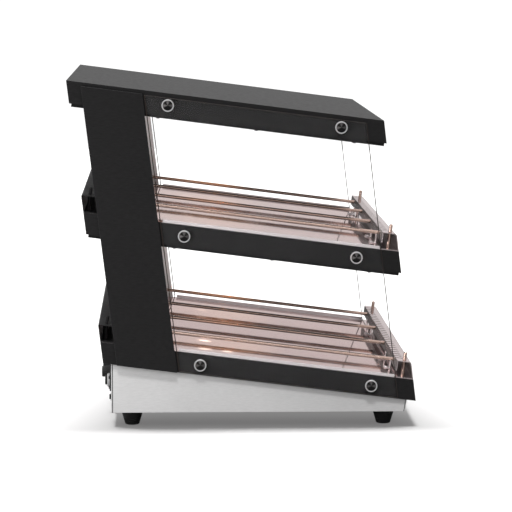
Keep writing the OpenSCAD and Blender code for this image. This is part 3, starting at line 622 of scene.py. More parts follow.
def edge_rub():
    """Lightens a colour on the marked faces: wear on the folds, and a painted sheen in fans on the fixing
    caps.
    """
    def build(tree, given, out):
        worn = add_node(tree, "ShaderNodeAttribute", {}, attribute_name="worn").outputs["Fac"]
        broken = remap(tree, noise(tree, given["Vector"], scale=60, detail=4), 0.35, 0.65, 0.3, 1)
        mask = product(tree, product(tree, worn, broken), given["Amount"], clamp=True)
        put(tree, out["Colour"], mixed(tree, mask, given["Colour"], given["Rubbed"]))
        put(tree, out["Mask"], mask)
    return node_group("warmer_edge_rub", "ShaderNodeTree",
                      [("Vector", "Vector"), ("Colour", "Color", (0.02, 0.02, 0.02, 1)),
                       ("Rubbed", "Color", (0.1, 0.1, 0.1, 1)), ("Amount", "Float", 0.5)],
                      [("Colour", "Color"), ("Mask", "Float")], build)


class Finish:
    """A material under construction: its tree, its Principled shader and the piece's own coordinates."""

    def __init__(self, name, **values):
        self.material = bpy.data.materials.new(name)
        self.material.use_nodes = True
        self.tree = self.material.node_tree
        self.shader = self.tree.nodes["Principled BSDF"]
        self.where = self.tree.nodes.new("ShaderNodeTexCoord").outputs["Object"]
        self.feed(**values)

    def feed(self, **values):
        """Sets or links sockets of the shader, whose names are given with underscores."""
        for label, value in values.items():
            put(self.tree, self.shader.inputs[label.replace("_", " ")], value)

    def group(self, tree, **values):
        """Adds a group node over the piece's own coordinates."""
        inputs = {label.replace("_", " "): value for label, value in values.items()}
        inputs["Vector"] = self.where
        return add_node(self.tree, "ShaderNodeGroup", inputs, node_tree=tree).outputs

    def bump(self, height, strength, distance):
        node = add_node(self.tree, "ShaderNodeBump", {"Height": height, "Strength": strength,
                                                      "Distance": distance})
        self.feed(Normal=node.outputs["Normal"])


GRAIN_DEPTH = 0.0001
LINE_DEPTH = 0.00005


def own_colour(colour):
    """A colour as it is, or the one that the colour settings hold under a name."""
    return tuple(getattr(settings("colours"), colour)) if isinstance(colour, str) else colour


def coated(colour, grain, roughness, specular, dust=0.02, speckle=0.15, rubbed=None, bump=0.25, *, name):
    """A coat, plastic, rubber or other dull surface that lightens where its wear is marked, and where a
    painted sheen is marked.
    """
    colour = own_colour(colour)
    finish = Finish(name, Specular_IOR_Level=specular)
    coat = finish.group(coat_grain(), Colour=colour, Grain_Scale=grain, Roughness=roughness,
                        Speckle=speckle, Dust=dust)
    rub = finish.group(edge_rub(), Colour=coat["Colour"],
                       Rubbed=rubbed or tuple(min(1, 2.2 * c) for c in colour), Amount=0.5)
    finish.feed(Base_Color=rub["Colour"], Roughness=coat["Roughness"])
    finish.bump(coat["Height"], bump, GRAIN_DEPTH)
    return finish.material


def bright(colour, stretch, roughness, contrast=0.06, smear=0.05, bump=0.05, tint=(1, 1, 1), metallic=1.0,
           *, name):
    """Bare metal with drawn lines."""
    finish = Finish(name, Metallic=metallic, Specular_Tint=tint)
    lines = finish.group(drawn_lines(), Colour=own_colour(colour), Stretch=stretch, Roughness=roughness,
                         Contrast=contrast, Smear=smear)
    finish.feed(Base_Color=lines["Colour"], Roughness=lines["Roughness"])
    finish.bump(lines["Height"], bump, LINE_DEPTH)
    return finish.material


def clear_glass(name):
    """The panes, with a trace of smear. Their low index bends the view only a little."""
    finish = Finish(name, Base_Color=(1, 1, 1), Transmission_Weight=1.0, IOR=1.14, Specular_IOR_Level=0.1)
    smear = finish.group(drawn_lines(), Colour=(1, 1, 1), Stretch=(8, 8, 8), Roughness=0,
                         Contrast=0.004, Smear=0.004)
    finish.feed(Roughness=smear["Roughness"])
    return finish.material


def ground_edge(name):
    """The ground edge of the glass, in an opaque dark colour: painted shade for the dark look of its
    thickness.
    """
    finish = Finish(name, Specular_IOR_Level=0.3)
    grit = finish.group(coat_grain(), Colour=own_colour("glass_edge"), Grain_Scale=2500, Roughness=0.35,
                        Speckle=0.2, Dust=0)
    finish.feed(Base_Color=grit["Colour"], Roughness=grit["Roughness"])
    finish.bump(grit["Height"], 0.2, GRAIN_DEPTH)
    return finish.material


def lamp_glass(name):
    """The lamps' capsules, faintly amber."""
    finish = Finish(name, Transmission_Weight=0.85, IOR=1.3)
    film = finish.group(coat_grain(), Colour=(1, 0.83, 0.58), Grain_Scale=900, Roughness=0.08,
                        Speckle=0.06, Dust=0)
    finish.feed(Base_Color=film["Colour"], Roughness=film["Roughness"])
    return finish.material


def hot_filament(name):
    """A lit wire that glows in the colour of the lamps' light."""
    finish = Finish(name, Emission_Strength=6.0)
    glow = finish.group(coat_grain(), Colour=own_colour("lamp"), Grain_Scale=400, Roughness=0.6,
                        Speckle=0.3, Dust=0)
    finish.feed(Base_Color=glow["Colour"], Emission_Color=glow["Colour"])
    return finish.material


ALONG_X, ALONG_Y, ALL_WAYS = (30, 1800, 1800), (1800, 30, 1800), (900, 900, 900)

# A coat says its colour, grain, roughness and specular level, a bright metal its colour, the
# stretch of its lines, roughness, contrast, smear and bump. A colour in words is a setting's.
FINISH_RECIPES = {
    "black_coat": partial(coated, "coat", 500, 0.5, 0.13, speckle=1.3, rubbed=(0.05, 0.05, 0.052), bump=0.06),
    "pan_coat": partial(coated, (0.01, 0.01, 0.01), 500, 0.55, 0.15, bump=0.06),
    "polished_steel": partial(bright, "steel", ALONG_X, 0.045, 0.03, 0.03, 0.02, (1.0, 0.82, 0.8), 0.93),
    "rail_steel": partial(bright, (0.59, 0.51, 0.515), ALONG_X, 0.06, 0.03, 0.03, 0.02, (1.0, 0.93, 0.92),
                          0.9),
    # Painted shade: a dark finish for the front rail's wall that faces the tray
    "dull_steel": partial(coated, (0.115, 0.107, 0.103), 900, 0.4, 0.3, rubbed=(0.3, 0.285, 0.28)),
    # Painted sheen: a pale finish for the sideways faces of the post liners
    "satin_steel": partial(bright, (0.97, 0.9, 0.89), ALONG_Y, 0.3, 0.03, metallic=0.1),
    "trim_steel": partial(bright, (0.84, 0.775, 0.78), ALONG_Y, 0.14, 0.03, metallic=0.66),
    # The rods' warm brown tint is a painted reflection of the lamps' warm light
    "rod_steel": partial(bright, "rod", ALONG_Y, 0.13, 0.08, 0.06, 0.05, metallic=0.85),
    "clear_glass": clear_glass,
    "lamp_glass": lamp_glass,
    "ceramic": partial(coated, (0.78, 0.75, 0.68), 600, 0.3, 0.5, speckle=0.05, dust=0.05),
    "heater_silicone": partial(coated, (0.42, 0.1, 0.05), 500, 0.65, 0.3),
    "wire_jacket": partial(coated, (0.5, 0.05, 0.03), 900, 0.45, 0.4),
    "rubber": partial(coated, (0.012, 0.012, 0.012), 800, 0.24, 0.6, dust=0.05, bump=0.2),
    "zinc_steel": partial(bright, (0.56, 0.56, 0.58), ALL_WAYS, 0.3, 0.2),
    "bright_ring": partial(bright, (0.72, 0.715, 0.72), ALL_WAYS, 0.34, 0.08, metallic=0.6),
    "gloss_black": partial(coated, (0.008, 0.008, 0.008), 700, 0.25, 0.35, dust=0, bump=0.05),
    # The caps' lightened colour is a painted sheen, laid in fans over their turned faces
    "turned_black": partial(coated, (0.004, 0.004, 0.004), 700, 0.3, 0.08, dust=0,
                            rubbed=(0.38, 0.36, 0.355), bump=0.05),
    "black_screw": partial(bright, (0.05, 0.05, 0.052), ALL_WAYS, 0.36, 0.2, metallic=0.7),
    "base_coat": partial(coated, "base", 900, 0.42, 0.35, speckle=0.3, dust=0,
                         rubbed=(0.75, 0.745, 0.745), bump=0.4),
    "control_coat": partial(coated, (0.02, 0.02, 0.021), 1600, 0.5, 0.35),
    "matte_black": partial(coated, (0.016, 0.016, 0.016), 1100, 0.48, 0.4, bump=0.2),
    "shaft_brass": partial(bright, (0.75, 0.57, 0.27), ALONG_Y, 0.28, 0.12),
    "ground_glass_edge": ground_edge,
    "hot_filament": hot_filament,
    "lamp_reflector": partial(bright, (0.8, 0.78, 0.74), ALL_WAYS, 0.25, 0.1),
    "print_white": partial(coated, (0.72, 0.72, 0.7), 1500, 0.5, 0.3, dust=0),
}


@cache
def finish_of(key):
    """A finish's material, made the first time that a piece asks for it."""
    return FINISH_RECIPES[key](name=key)


# Pieces

class WARMER_OT_canopy(bpy.types.Operator):
    """Folded canopy cover and the lamp pans in the canopy and the middle deck"""
    bl_idname = "warmer.canopy"
    bl_label = "Canopy"

    def execute(self, context):
        folded("canopy_cover", "canopy_cover_folded", "black_coat")
        for level in ("canopy", "middle"):
            lamp_pan(level)
        return {"FINISHED"}


def lamp_pan(level):
    """A lamp pan whose two wells are lined with a bright reflector finish."""
    node = level + "_lamp_pan"
    pan = folded(node, level + "_lamp_pan_pressed", "pan_coat", settings("sheet").thin_fold)
    rim = min(v.co.dot(DECK_UP) for v in pan.data.vertices) + settings("sheet").fold * 2
    lamps = [middle(points) for points in islands("lamp_bulbs")]
    well_reach, lamp_reach, least_facing = 0.045, 0.05, 0.004

    def in_well(face):
        ways = [lamp - face.center for lamp in lamps]
        looks_in = any(way.length < lamp_reach and way.dot(face.normal) > least_facing for way in ways)
        return looks_in and min(way.length for way in ways) < well_reach and face.center.dot(DECK_UP) > rim

    second_finish(pan, "lamp_reflector", in_well)


class WARMER_OT_decks(bpy.types.Operator):
    """Deck channels, polished trays, their bright lips and the heater mats"""
    bl_idname = "warmer.decks"
    bl_label = "Decks and trays"

    def execute(self, context):
        fine = settings("sheet").thin_fold
        for deck in DECKS:
            folded(deck + "_deck_frame", deck + "_deck_channels", "black_coat", fine * 2)
            folded(deck + "_tray", deck + "_tray_sheet", "polished_steel", fine)
            folded(deck + "_tray_trims", deck + "_tray_lips", "trim_steel", fine)
            folded(deck + "_heater_mat", deck + "_heater_sheet", "heater_silicone", fine * 2)
        return {"FINISHED"}


class WARMER_OT_rails(bpy.types.Operator):
    """Comb rails at the front and rear of each deck, their pins and the bent brackets"""
    bl_idname = "warmer.rails"
    bl_label = "Rails, pins and brackets"

    def execute(self, context):
        fine = settings("sheet").thin_fold
        for deck in DECKS:
            front = folded(deck + "_front_rail", deck + "_front_comb_rail", "polished_steel", fine,
                           finish="rail_steel", steps=2)
            # The wall that faces the tray gets a dark finish: painted shade for the shadow and dark
            # reflection on it
            second_finish(front, "dull_steel", lambda face: face.normal.dot(DECK_REAR) > FACING)
            folded(deck + "_rear_rail", deck + "_rear_comb_rail", "black_coat", fine, steps=2)
            folded(deck + "_rail_brackets", deck + "_rail_tabs", "trim_steel", fine, steps=2)
            self.pins(deck)
        return {"FINISHED"}

    def pins(self, deck):
        """Domed pins, bright at the front rail and black at the rear one."""
        node = deck + "_rail_pins"
        solids = islands(node)
        radius, height = extent(solids[0], RIGHT) / 2, extent(solids[0], DECK_UP)
        dome = [(radius * math.sin(math.radians(a)), height - radius + radius * math.cos(math.radians(a)))
                for a in range(90, 0, -15)]
        profile = [(0, 0), (radius * 0.92, 0), (radius, radius * 0.08)] + dome + [(0, height)]
        template = object_from(turned(profile, settings("hardware").round_steps), "pin_template")
        places = [stood(points, DECK_UP) for points in solids]
        pins = copies(deck + "_rail_pins_domed", template, places, "rod_steel", nodes=[node])
        lo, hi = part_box(node)
        second_finish(pins, "black_coat", lambda face: face.center.y > (lo.y + hi.y) / 2)


class WARMER_OT_rods(bpy.types.Operator):
    """Eight lift-out divider rods with chamfered ends"""
    bl_idname = "warmer.rods"
    bl_label = "Divider rods"

    def execute(self, context):
        hardware = settings("hardware")
        chamfer = hardware.rod_chamfer
        for body in frame["bodies"]:
            if "_rod_" not in body:
                continue
            points = corners(body)
            radius, length = extent(points, RIGHT) / 2, extent(points, DECK_REAR)
            bm = turned([(0, 0), (radius - chamfer, 0), (radius, chamfer), (radius, length - chamfer),
                         (radius - chamfer, length), (0, length)], hardware.round_steps)
            bm.transform(stood(points, DECK_REAR))
            rod = shade(object_from(bm, body + "_bar"), 30)
            fit_out(rod, finish_of("rod_steel"), body, [body])
        return {"FINISHED"}


class WARMER_OT_posts(bpy.types.Operator):
    """Black side posts and the polished channels that close them"""
    bl_idname = "warmer.posts"
    bl_label = "Posts and liners"

    def execute(self, context):
        for side in ("left", "right"):
            folded(side + "_post_cover", side + "_post_folded", "black_coat")
        fine = settings("sheet").thin_fold
        liners = folded("post_liners", "post_liner_channels", "polished_steel", fine * 2)
        # The liners' sideways faces get a pale finish: a painted sheen in place of their bright reflection
        second_finish(liners, "satin_steel", lambda face: abs(face.normal.x) > SQUARELY)
        return {"FINISHED"}


class WARMER_OT_glass(bpy.types.Operator):
    """Side glass with ground edges"""
    bl_idname = "warmer.glass"
    bl_label = "Side glass"

    def execute(self, context):
        for side in ("left", "right"):
            node = side + "_side_glass"
            pane = object_from(cad_copy(node), side + "_glass_pane")
            fold_edges(pane, settings("sheet").glass_arris, 1)
            give(pane.data, finish_of("clear_glass"))
            second_finish(pane, "ground_glass_edge", lambda face: abs(face.normal.x) <= SQUARELY)
            pane.visible_shadow = False
            fit_out(shade(pane, 30), None, CABINET, [node])
        return {"FINISHED"}


class WARMER_OT_buttons(bpy.types.Operator):
    """Glass fixings: bright rings round dished black caps, studs, gaskets and nuts"""
    bl_idname = "warmer.buttons"
    bl_label = "Glass fixings"

    def execute(self, context):
        self.group("button_rings", "fixing_rings", "bright_ring", self.ring_profile)
        # The caps' colour carries a painted sheen in fans
        self.group("button_caps", "fixing_caps", "turned_black", self.cap_profile,
                   slot="gloss_black", mark=self.mark_fans)
        dress({"glass_studs": "zinc_steel", "glass_gaskets": "rubber"})
        nuts()
        return {"FINISHED"}

    def group(self, node, name, finish, profile, slot=None, mark=None):
        """One turned piece at each glass fixing, whose faces may be marked for a painted sheen."""
        solids = islands(node)
        radius, height = extent(solids[0], UP) / 2, extent(solids[0], RIGHT)
        bm = turned(profile(radius, height), settings("hardware").round_steps)
        template = object_from(bm, name + "_template")
        if mark:
            mark(template.data)
        places = [stood(points, outward(points)) for points in solids]
        copies(name, template, places, finish, nodes=[node], smooth=25)

    def mark_fans(self, mesh):
        """Marks where a turned face gets a painted sheen: fans of painted light at both sides and at the top,
        not below.
        """
        fans, crispness, lean, lowest = 4, 1.5, 0.25, -0.5
        marks = []
        for face in mesh.polygons:
            angle = math.atan2(face.center.y, face.center.x)
            light = (0.5 + 0.5 * math.cos(fans * angle)) ** crispness
            marks.append(0 if math.sin(angle) < lowest else light * (1 - lean * math.cos(angle)))
        mark_worn(mesh, marks)

    def ring_profile(self, radius, height):
        """A closed ring: its section is a loop that starts and ends at the same point."""
        gap, slope, shoulder, inner_shoulder = 0.0001, 0.0003, 0.0005, 0.0006
        inner = extent(islands("button_caps")[0], UP) / 2 + gap
        crown = (inner + radius) / 2
        return [(inner, 0), (radius, 0), (radius, height * 0.5), (radius - slope, height * 0.72),
                (crown + shoulder, height * 0.95), (crown, height),
                (crown - inner_shoulder, height * 0.95), (inner, height * 0.7), (inner, 0)]

    def cap_profile(self, radius, height):
        """A dished cap whose face carries turned grooves, with a small raised centre."""
        profile = scaled(radius, height, (0, 0), (1, 0), (1, 0.6), (0.94, 0.9), (0.88, 1))
        grooves, face, land, cut = 7, radius * 0.86, radius * 0.045, height * 0.09
        for number in range(1, grooves + 1):
            share = 1 - number / (grooves + 1.5)
            dish = height * (0.92 - 0.35 * (1 - share))
            profile += [(face * share + land, dish), (face * share, dish - cut)]
        return profile + scaled(radius, height, (0.12, 0.62), (0, 0.66))


def nuts():
    """Hexagon nuts on the studs, chamfered at their corners."""
    solids = islands("stud_nuts")
    height = extent(solids[0], RIGHT)
    corner = max(extent(solids[0], UP), extent(solids[0], REAR)) / 2
    bore, face = 0.53, 0.93
    profile = scaled(corner, height, (bore, 0), (face, 0), (1, 0.12), (1, 0.88), (face, 1), (bore, 1),
                     (bore, 0))

    def hexagon(angle, radius, level):
        if radius < corner * face:
            return 1
        turn = (angle % (math.pi / 3)) - math.pi / 6
        return min(1, math.cos(math.pi / 6) / math.cos(turn) * corner / radius)

    template = object_from(turned(profile, 36, hexagon), "nut_template")
    places = [stood(points, outward(points)) for points in solids]
    copies("fixing_nuts", template, places, "zinc_steel", nodes=["stud_nuts"], smooth=20)


class WARMER_OT_lamps(bpy.types.Operator):
    """Capsule lamps with lit filaments in ceramic holders"""
    bl_idname = "warmer.lamps"
    bl_label = "Lamps"

    def execute(self, context):
        folded("lamp_holders", "lamp_sockets", "ceramic", settings("sheet").thin_fold * 3)
        bulbs = islands("lamp_bulbs")
        radius, length = extent(bulbs[0], RIGHT) / 2, extent(bulbs[0], DECK_REAR)
        places = [stood(points, -DECK_REAR) for points in bulbs]
        neck, wall = length * 0.16, radius * 0.09
        envelope = self.envelope(radius, length, neck, 0) + self.envelope(radius, length, neck, wall)[::-1]
        envelope.append(envelope[0])
        template = object_from(turned(envelope, 40), "bulb_template")
        copies("lamp_capsules", template, places, "lamp_glass", nodes=["lamp_bulbs"])
        template = self.filament(radius * 0.3, length * 0.62, neck)
        copies("lamp_filaments", template, places, "hot_filament")
        self.lights(places, length)
        return {"FINISHED"}

    def envelope(self, radius, length, neck, wall):
        """Half of a capsule's outline from its neck to its tip, moved in by a wall's thickness."""
        outer = [(radius / 2 - wall, 0), (radius / 2 - wall, neck)]
        outer += [(radius * 0.8 - wall, neck + radius * 0.15), (radius - wall, neck + radius * 0.5)]
        dome = length - radius
        for degrees in range(0, 76, 15):
            a = math.radians(degrees)
            outer.append(((radius - wall) * math.cos(a), dome + (radius - wall) * math.sin(a)))
        return outer + [(0, length - wall)]

    def filament(self, radius, reach, neck):
        """A coiled wire with one straight lead, as a mesh tube."""
        turns, sides, wire = settings("hardware").filament_turns, 6, 0.00035
        steps = turns * 10
        start, end = neck * 1.5, neck * 1.5 + reach * 0.7
        path = [Vector((radius, 0, neck * 0.2)), Vector((radius, 0, start * 0.9))]
        for step in range(steps + 1):
            angle = 2 * math.pi * turns * step / steps
            height = start + (end - start) * step / steps
            path.append(Vector((radius * math.cos(angle), radius * math.sin(angle), height)))
        section = [2 * math.pi * side / sides for side in range(sides)]
        bm = bmesh.new()
        rings = []
        for index, point in enumerate(path):
            ahead = path[min(index + 1, len(path) - 1)] - path[max(index - 1, 0)]
            matrix = place_along(ahead, point)
            rings.append([bm.verts.new(matrix @ Vector((wire * math.cos(a), wire * math.sin(a), 0)))
                          for a in section])
        for low, high in zip(rings, rings[1:]):
            wall_between(bm, low, high)
        bm.faces.new(rings[0][::-1])
        bm.faces.new(rings[-1])
        return object_from(bm, "filament_template")

    def lights(self, places, length):
        """A wide beam from each lamp and three narrow ones, which are full only at the lower left lamp."""
        warm = own_colour("lamp")
        pale = tuple(0.5 + 0.5 * c for c in warm)
        # Sideways and rearward aim for each metre of drop, spread in degrees, power and colour
        beams = ((0, 0.3, 75, 7, warm), (0.05, 0.523, 8, 85, pale), (-0.477, 0.529, 8, 75, pale),
                 (-0.458, 0.285, 7, 70, pale))
        along_bulb, below_bulb, faint, same_place = length * 0.55, 0.012, 0.2, 0.01
        least = min(place.translation.x + place.translation.z for place in places)
        for number, place in enumerate(places):
            spot = place @ Vector((0, 0, along_bulb)) - DECK_UP * below_bulb
            strength = 1 if place.translation.x + place.translation.z < least + same_place else faint
            for beam, (aside, back, spread, power, colour) in enumerate(beams):
                lamp = bpy.data.lights.new("lamp_%d_beam_%d" % (number, beam), "SPOT")
                lamp.energy = power if beam == 0 else power * strength
                lamp.color = colour
                lamp.spot_size = math.radians(spread)
                lamp.spot_blend = 1.0
                lamp.shadow_soft_size = 0.003
                hang_light(lamp, spot, UP - RIGHT * aside - REAR * back).visible_glossy = False


def hang_light(data, place, from_way):
    """Adds a light at a place, which shines away from a direction."""
    light = add_object(data.name, data)
    light.matrix_world = Matrix.Translation(place) @ from_way.to_track_quat("Z", "Y").to_matrix().to_4x4()
    return light


class WARMER_OT_base(bpy.types.Operator):
    """Textured base with panel seams, its bottom plate and four rubber feet"""
    bl_idname = "warmer.base"
    bl_label = "Base and feet"

    def execute(self, context):
        sheet = settings("sheet")
        self.housing(sheet)
        folded("base_bottom_plate", "base_bottom_sheet", "base_coat", sheet.thin_fold * 2)
        self.feet()
        dress({"foot_screws": "zinc_steel"})
        return {"FINISHED"}

    def housing(self, sheet):
        """The base's shell, with a dark seam behind its front panel and before its rear one."""
        piece = object_from(cad_copy("base_housing"), "base_shell")
        fold_edges(piece, sheet.fold * 0.8, sheet.fold_steps)
        bm = open_mesh(piece.data)
        lo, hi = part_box("base_housing")
        seams = [(Vector((0, hi.y - sheet.seam_inset, 0)), REAR), self.front_seam(lo, sheet.seam_inset)]
        seam_half, on_side = sheet.seam_width * 0.45, 1e-5
        for point, normal in seams:
            groove(bm, point, normal, sheet.seam_width, sheet.seam_depth, hi.x)
        for face in bm.faces:
            centre = face.calc_center_median()
            in_seam = min(abs((centre - point).dot(normal)) for point, normal in seams) < seam_half
            sunk = abs(face.normal.x) > 0.1 and abs(centre.x) < hi.x - on_side
            face.material_index = int(in_seam and sunk)
        close_mesh(bm, piece.data)
        shade(piece)
        for key in ("base_coat", "control_coat"):
            piece.data.materials.append(finish_of(key))
        fit_out(piece, None, CABINET, ["base_housing"])

    def front_seam(self, lo, inset):
        """A point and direction of the plane that lies an inset behind the base's leaning front face."""
        points = corners("base_housing")
        near_foot = lo.z + 0.001
        foot = min(p.y for p in points if p.z < near_foot)
        top = min(points, key=lambda p: p.y)
        square = Vector((0, top.z - lo.z, foot - top.y)).normalized()
        return Vector((0, top.y, top.z)) + square * inset, square

    def feet(self):
        """Tapered rubber feet, open below round the screw that holds them."""
        solids = islands("rubber_feet")
        height, wide = extent(solids[0], UP), extent(solids[0], RIGHT) / 2
        sole = 0.0016
        narrow = max((p - middle(solids[0])).xy.length for p in solids[0] if p.z < sole)
        recess, hole, ledge = narrow * 0.46, narrow * 0.2, height * 0.36
        profile = [(recess, 0), (narrow * 0.86, 0), (narrow * 0.95, height * 0.02), (narrow, height * 0.07)]
        profile += [(narrow + (wide - narrow) * share, height * (0.07 + 0.85 * share))
                    for share in (0.25, 0.5, 0.75, 0.97)]
        profile += [(wide, height * 0.94), (wide, height * 0.985), (wide * 0.985, height), (hole, height),
                    (hole, ledge), (recess, ledge), (recess, 0)]
        template = object_from(turned(profile, settings("hardware").round_steps), "foot_template")
        places = [Matrix.Translation(middle(points, UP)) for points in solids]
        copies("feet_moulded", template, places, "rubber", nodes=["rubber_feet"], smooth=30)


def groove(bm, point, normal, width, depth, side_x):
    """Cuts a shallow groove into both side faces along the plane through a point."""
    ramp = width * 0.15
    for offset in (0, ramp, width - ramp, width):
        geometry = [*bm.verts, *bm.edges, *bm.faces]
        bmesh.ops.bisect_plane(bm, geom=geometry, plane_co=point + normal * (offset - width / 2),
                               plane_no=normal, dist=FINE_WELD)
    on_side = 2e-5
    for vert in bm.verts:
        off = abs((vert.co - point).dot(normal))
        if off < width / 2 - ramp * 0.5 and abs(abs(vert.co.x) - side_x) < on_side:
            vert.co.x -= math.copysign(depth, vert.co.x)


class WARMER_OT_controls(bpy.types.Operator):
    """Rear control plate with its dials, light button ring, switch frame, gland and inside parts"""
    bl_idname = "warmer.controls"
    bl_label = "Rear controls"

    def execute(self, context):
        fine = settings("sheet").thin_fold
        folded("control_plate", "control_plate_panel", "control_coat", fine * 3)
        folded("light_button_bezel", "light_button_ring", "bright_ring", fine * 2)
        folded("switch_housing", "switch_frame", "matte_black", fine * 2, steps=2)
        folded("cord_gland", "cord_gland_turned", "matte_black", fine * 2, steps=2)
        folded("deck_thermostats", "thermostat_blocks", "zinc_steel", fine * 2, steps=2)
        folded("terminal_block", "terminal_strip", "ceramic", fine * 2, steps=2)
        for deck in DECKS:
            self.dial(deck)
        return {"FINISHED"}

    def dial(self, deck):
        """Ticks and plain numbers round a knob, from its rest place to its end stop."""
        hardware = settings("hardware")
        joint = next(j for j in frame["joints"] if j["name"] == deck + "_knob_turn")
        sweep = math.radians(joint["range_deg"][1])
        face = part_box("control_plate")[1].y
        centre = Vector((joint["pos_m"][0], face, joint["pos_m"][2]))
        knob = extent(corners(deck + "_heat_knob"), UP) / 2

        def on_dial(share, reach):
            """The place at a share of the sweep and a reach from the knob, and the way out to it."""
            out = LEFT * math.sin(sweep * share) + UP * math.cos(sweep * share)
            return centre + out * (knob + reach), out

        half, length, tick_gap, number_gap = 0.00018, 0.0008, 0.0012, 0.0022
        outline = ((-half, 0), (half, 0), (half, length), (-half, length))
        template = object_from(prism(outline, 0, hardware.mark_raise), "tick_template")
        steps = hardware.dial_top * 4
        ticks = [place_along(REAR, *on_dial(step / steps, tick_gap)) for step in range(steps + 1)]
        copies(deck + "_dial_ticks", template, ticks, "print_white")
        for number in range(hardware.dial_top + 1):
            place, out = on_dial(number / hardware.dial_top, number_gap + hardware.number_size * 0.5)
            self.write(str(number), "%s_dial_number_%d" % (deck, number), place, hardware)

    def write(self, text, name, place, hardware):
        """A raised printed figure on the rear face, made a mesh before it is placed."""
        curve = bpy.data.curves.new(name, "FONT")
        curve.body = text
        curve.size = hardware.number_size * 1.35
        curve.extrude = hardware.mark_raise / 2
        curve.resolution_u = 4
        curve.align_x = "CENTER"
        curve.align_y = "CENTER"
        source = add_object(name + "_curve", curve)
        graph = bpy.context.evaluated_depsgraph_get()
        mesh = bpy.data.meshes.new_from_object(source.evaluated_get(graph))
        bpy.data.objects.remove(source)
        bm = open_mesh(mesh)
        bmesh.ops.remove_doubles(bm, verts=bm.verts, dist=1e-6)
        bm.transform(place_along(REAR, place + REAR * hardware.mark_raise / 2))
        bpy.data.meshes.remove(mesh)
        fit_out(object_from(bm, name), finish_of("print_white"), CABINET)


class WARMER_OT_knobs(bpy.types.Operator):
    """Fluted heat knobs with a pointer line, on brass shafts"""
    bl_idname = "warmer.knobs"
    bl_label = "Heat knobs"

    def execute(self, context):
        hardware = settings("hardware")
        for deck in DECKS:
            node = deck + "_heat_knob"
            points = corners(node)
            radius, length = extent(points, UP) / 2, extent(points, REAR)
            place = stood(points, REAR)
            knob = object_from(self.body(radius, length, hardware), deck + "_knob_fluted")
            knob.data.transform(place)
            fit_out(shade(knob, 40), finish_of("matte_black"), deck + "_knob", [node])
            self.pointer(deck, place, radius, length)
            dress({deck + "_heat_shaft": "shaft_brass"})
        return {"FINISHED"}

    def body(self, radius, length, hardware):
        """A skirted, fluted grip with a shallow dish in its face and a socket in its back."""
        depth, flutes = hardware.flute_depth, hardware.knob_flutes
        socket, skirt, grip = radius * 0.52, radius * 0.985, radius * 0.93
        profile = [(socket, 0), (skirt * 0.97, 0), (skirt, length * 0.02), (skirt, length * 0.12),
                   (skirt * 0.985, length * 0.15), (grip, length * 0.19)]
        profile += [(grip * (1 - 0.05 * s), length * (0.19 + 0.7 * s)) for s in (0.15, 0.5, 1)]
        profile += [(grip * 0.93, length * 0.93), (grip * 0.89, length * 0.975), (grip * 0.83, length),
                    (grip * 0.76, length * 0.995), (grip * 0.7, length * 0.975), (0, length * 0.97),
                    (0, length * 0.32), (socket, length * 0.31), (socket, 0)]

        def fluted(angle, r, height):
            if height < length * 0.17 or height > length * 0.95 or r < grip * 0.86:
                return 1
            wave = max(0, math.cos(angle * flutes))
            return 1 - depth / r * wave ** 0.6

        bm = turned(profile, flutes * 8, fluted)
        bmesh.ops.remove_doubles(bm, verts=bm.verts, dist=FINE_WELD)
        return bm

    def pointer(self, deck, place, radius, length):
        """A white line in the knob's face, with a point at its outer end."""
        wide, near, far, tip = radius * 0.07, radius * 0.16, radius * 0.61, radius * 0.64
        outline = [(-wide, near), (wide, near), (wide, far), (0, tip), (-wide, far)]
        face, half = length * 0.97, 0.0003
        bm = prism(outline, face - half, face + half)
        bm.transform(place)
        fit_out(object_from(bm, deck + "_knob_pointer"), finish_of("print_white"), deck + "_knob")


def flat_ring(outer, inner, height):
    """A thin turned ring for a printed mark."""
    return turned([(inner, 0), (outer, 0), (outer, height), (inner, height), (inner, 0)], 32)


class WARMER_OT_switches(bpy.types.Operator):
    """Round light button and the power rocker with its on and off marks"""
    bl_idname = "warmer.switches"
    bl_label = "Light button and power rocker"

    def execute(self, context):
        hardware = settings("hardware")
        points = corners("light_button")
        radius, length = extent(points, UP) / 2, extent(points, REAR)
        profile = scaled(radius, length, (0, 0), (1, 0), (1, 0.93), (0.97, 0.965), (0.9, 0.99), (0.82, 1),
                         (0.76, 0.992), (0.7, 0.972), (0.35, 0.96), (0, 0.957))
        button = object_from(turned(profile, hardware.round_steps), "light_button_dished")
        place = stood(points, REAR)
        button.data.transform(place)
        fit_out(shade(button, 30), finish_of("gloss_black"), "light_button", ["light_button"])
        ring = object_from(flat_ring(radius * 0.36, radius * 0.3, 0.00025), "light_button_mark")
        ring.data.transform(place_along(REAR, place @ Vector((0, 0, length * 0.96))))
        fit_out(ring, finish_of("print_white"), "light_button")
        rocker = folded("power_rocker", "power_rocker_moulded", "gloss_black",
                        settings("sheet").thin_fold * 2, "power_rocker", steps=2)
        self.rocker_marks(rocker, hardware)
        return {"FINISHED"}

    def rocker_marks(self, rocker, hardware):
        """A ring on one half of the rocker's face and a bar on the other, each lying on its own slope."""
        slopes = sorted((f for f in rocker.data.polygons if f.normal.y > FACING), key=lambda f: -f.area)[:2]
        half, thick = hardware.number_size * 0.55, hardware.mark_raise
        bar = half * 0.16
        for number, face in enumerate(sorted(slopes, key=lambda f: f.center.x)):
            if number:
                mark = turned([(0, 0), (bar, 0), (bar, thick), (0, thick)], 4)
                bmesh.ops.rotate(mark, verts=mark.verts, matrix=Matrix.Rotation(math.pi / 4, 3, "Z"))
                bmesh.ops.scale(mark, verts=mark.verts, vec=(1, half / bar * math.sqrt(2), 1))
            else:
                mark = flat_ring(half, half * 0.75, thick)
            mark.transform(place_along(face.normal, face.center))
            piece = object_from(mark, "power_rocker_mark_%d" % number)
            fit_out(piece, finish_of("print_white"), "power_rocker")


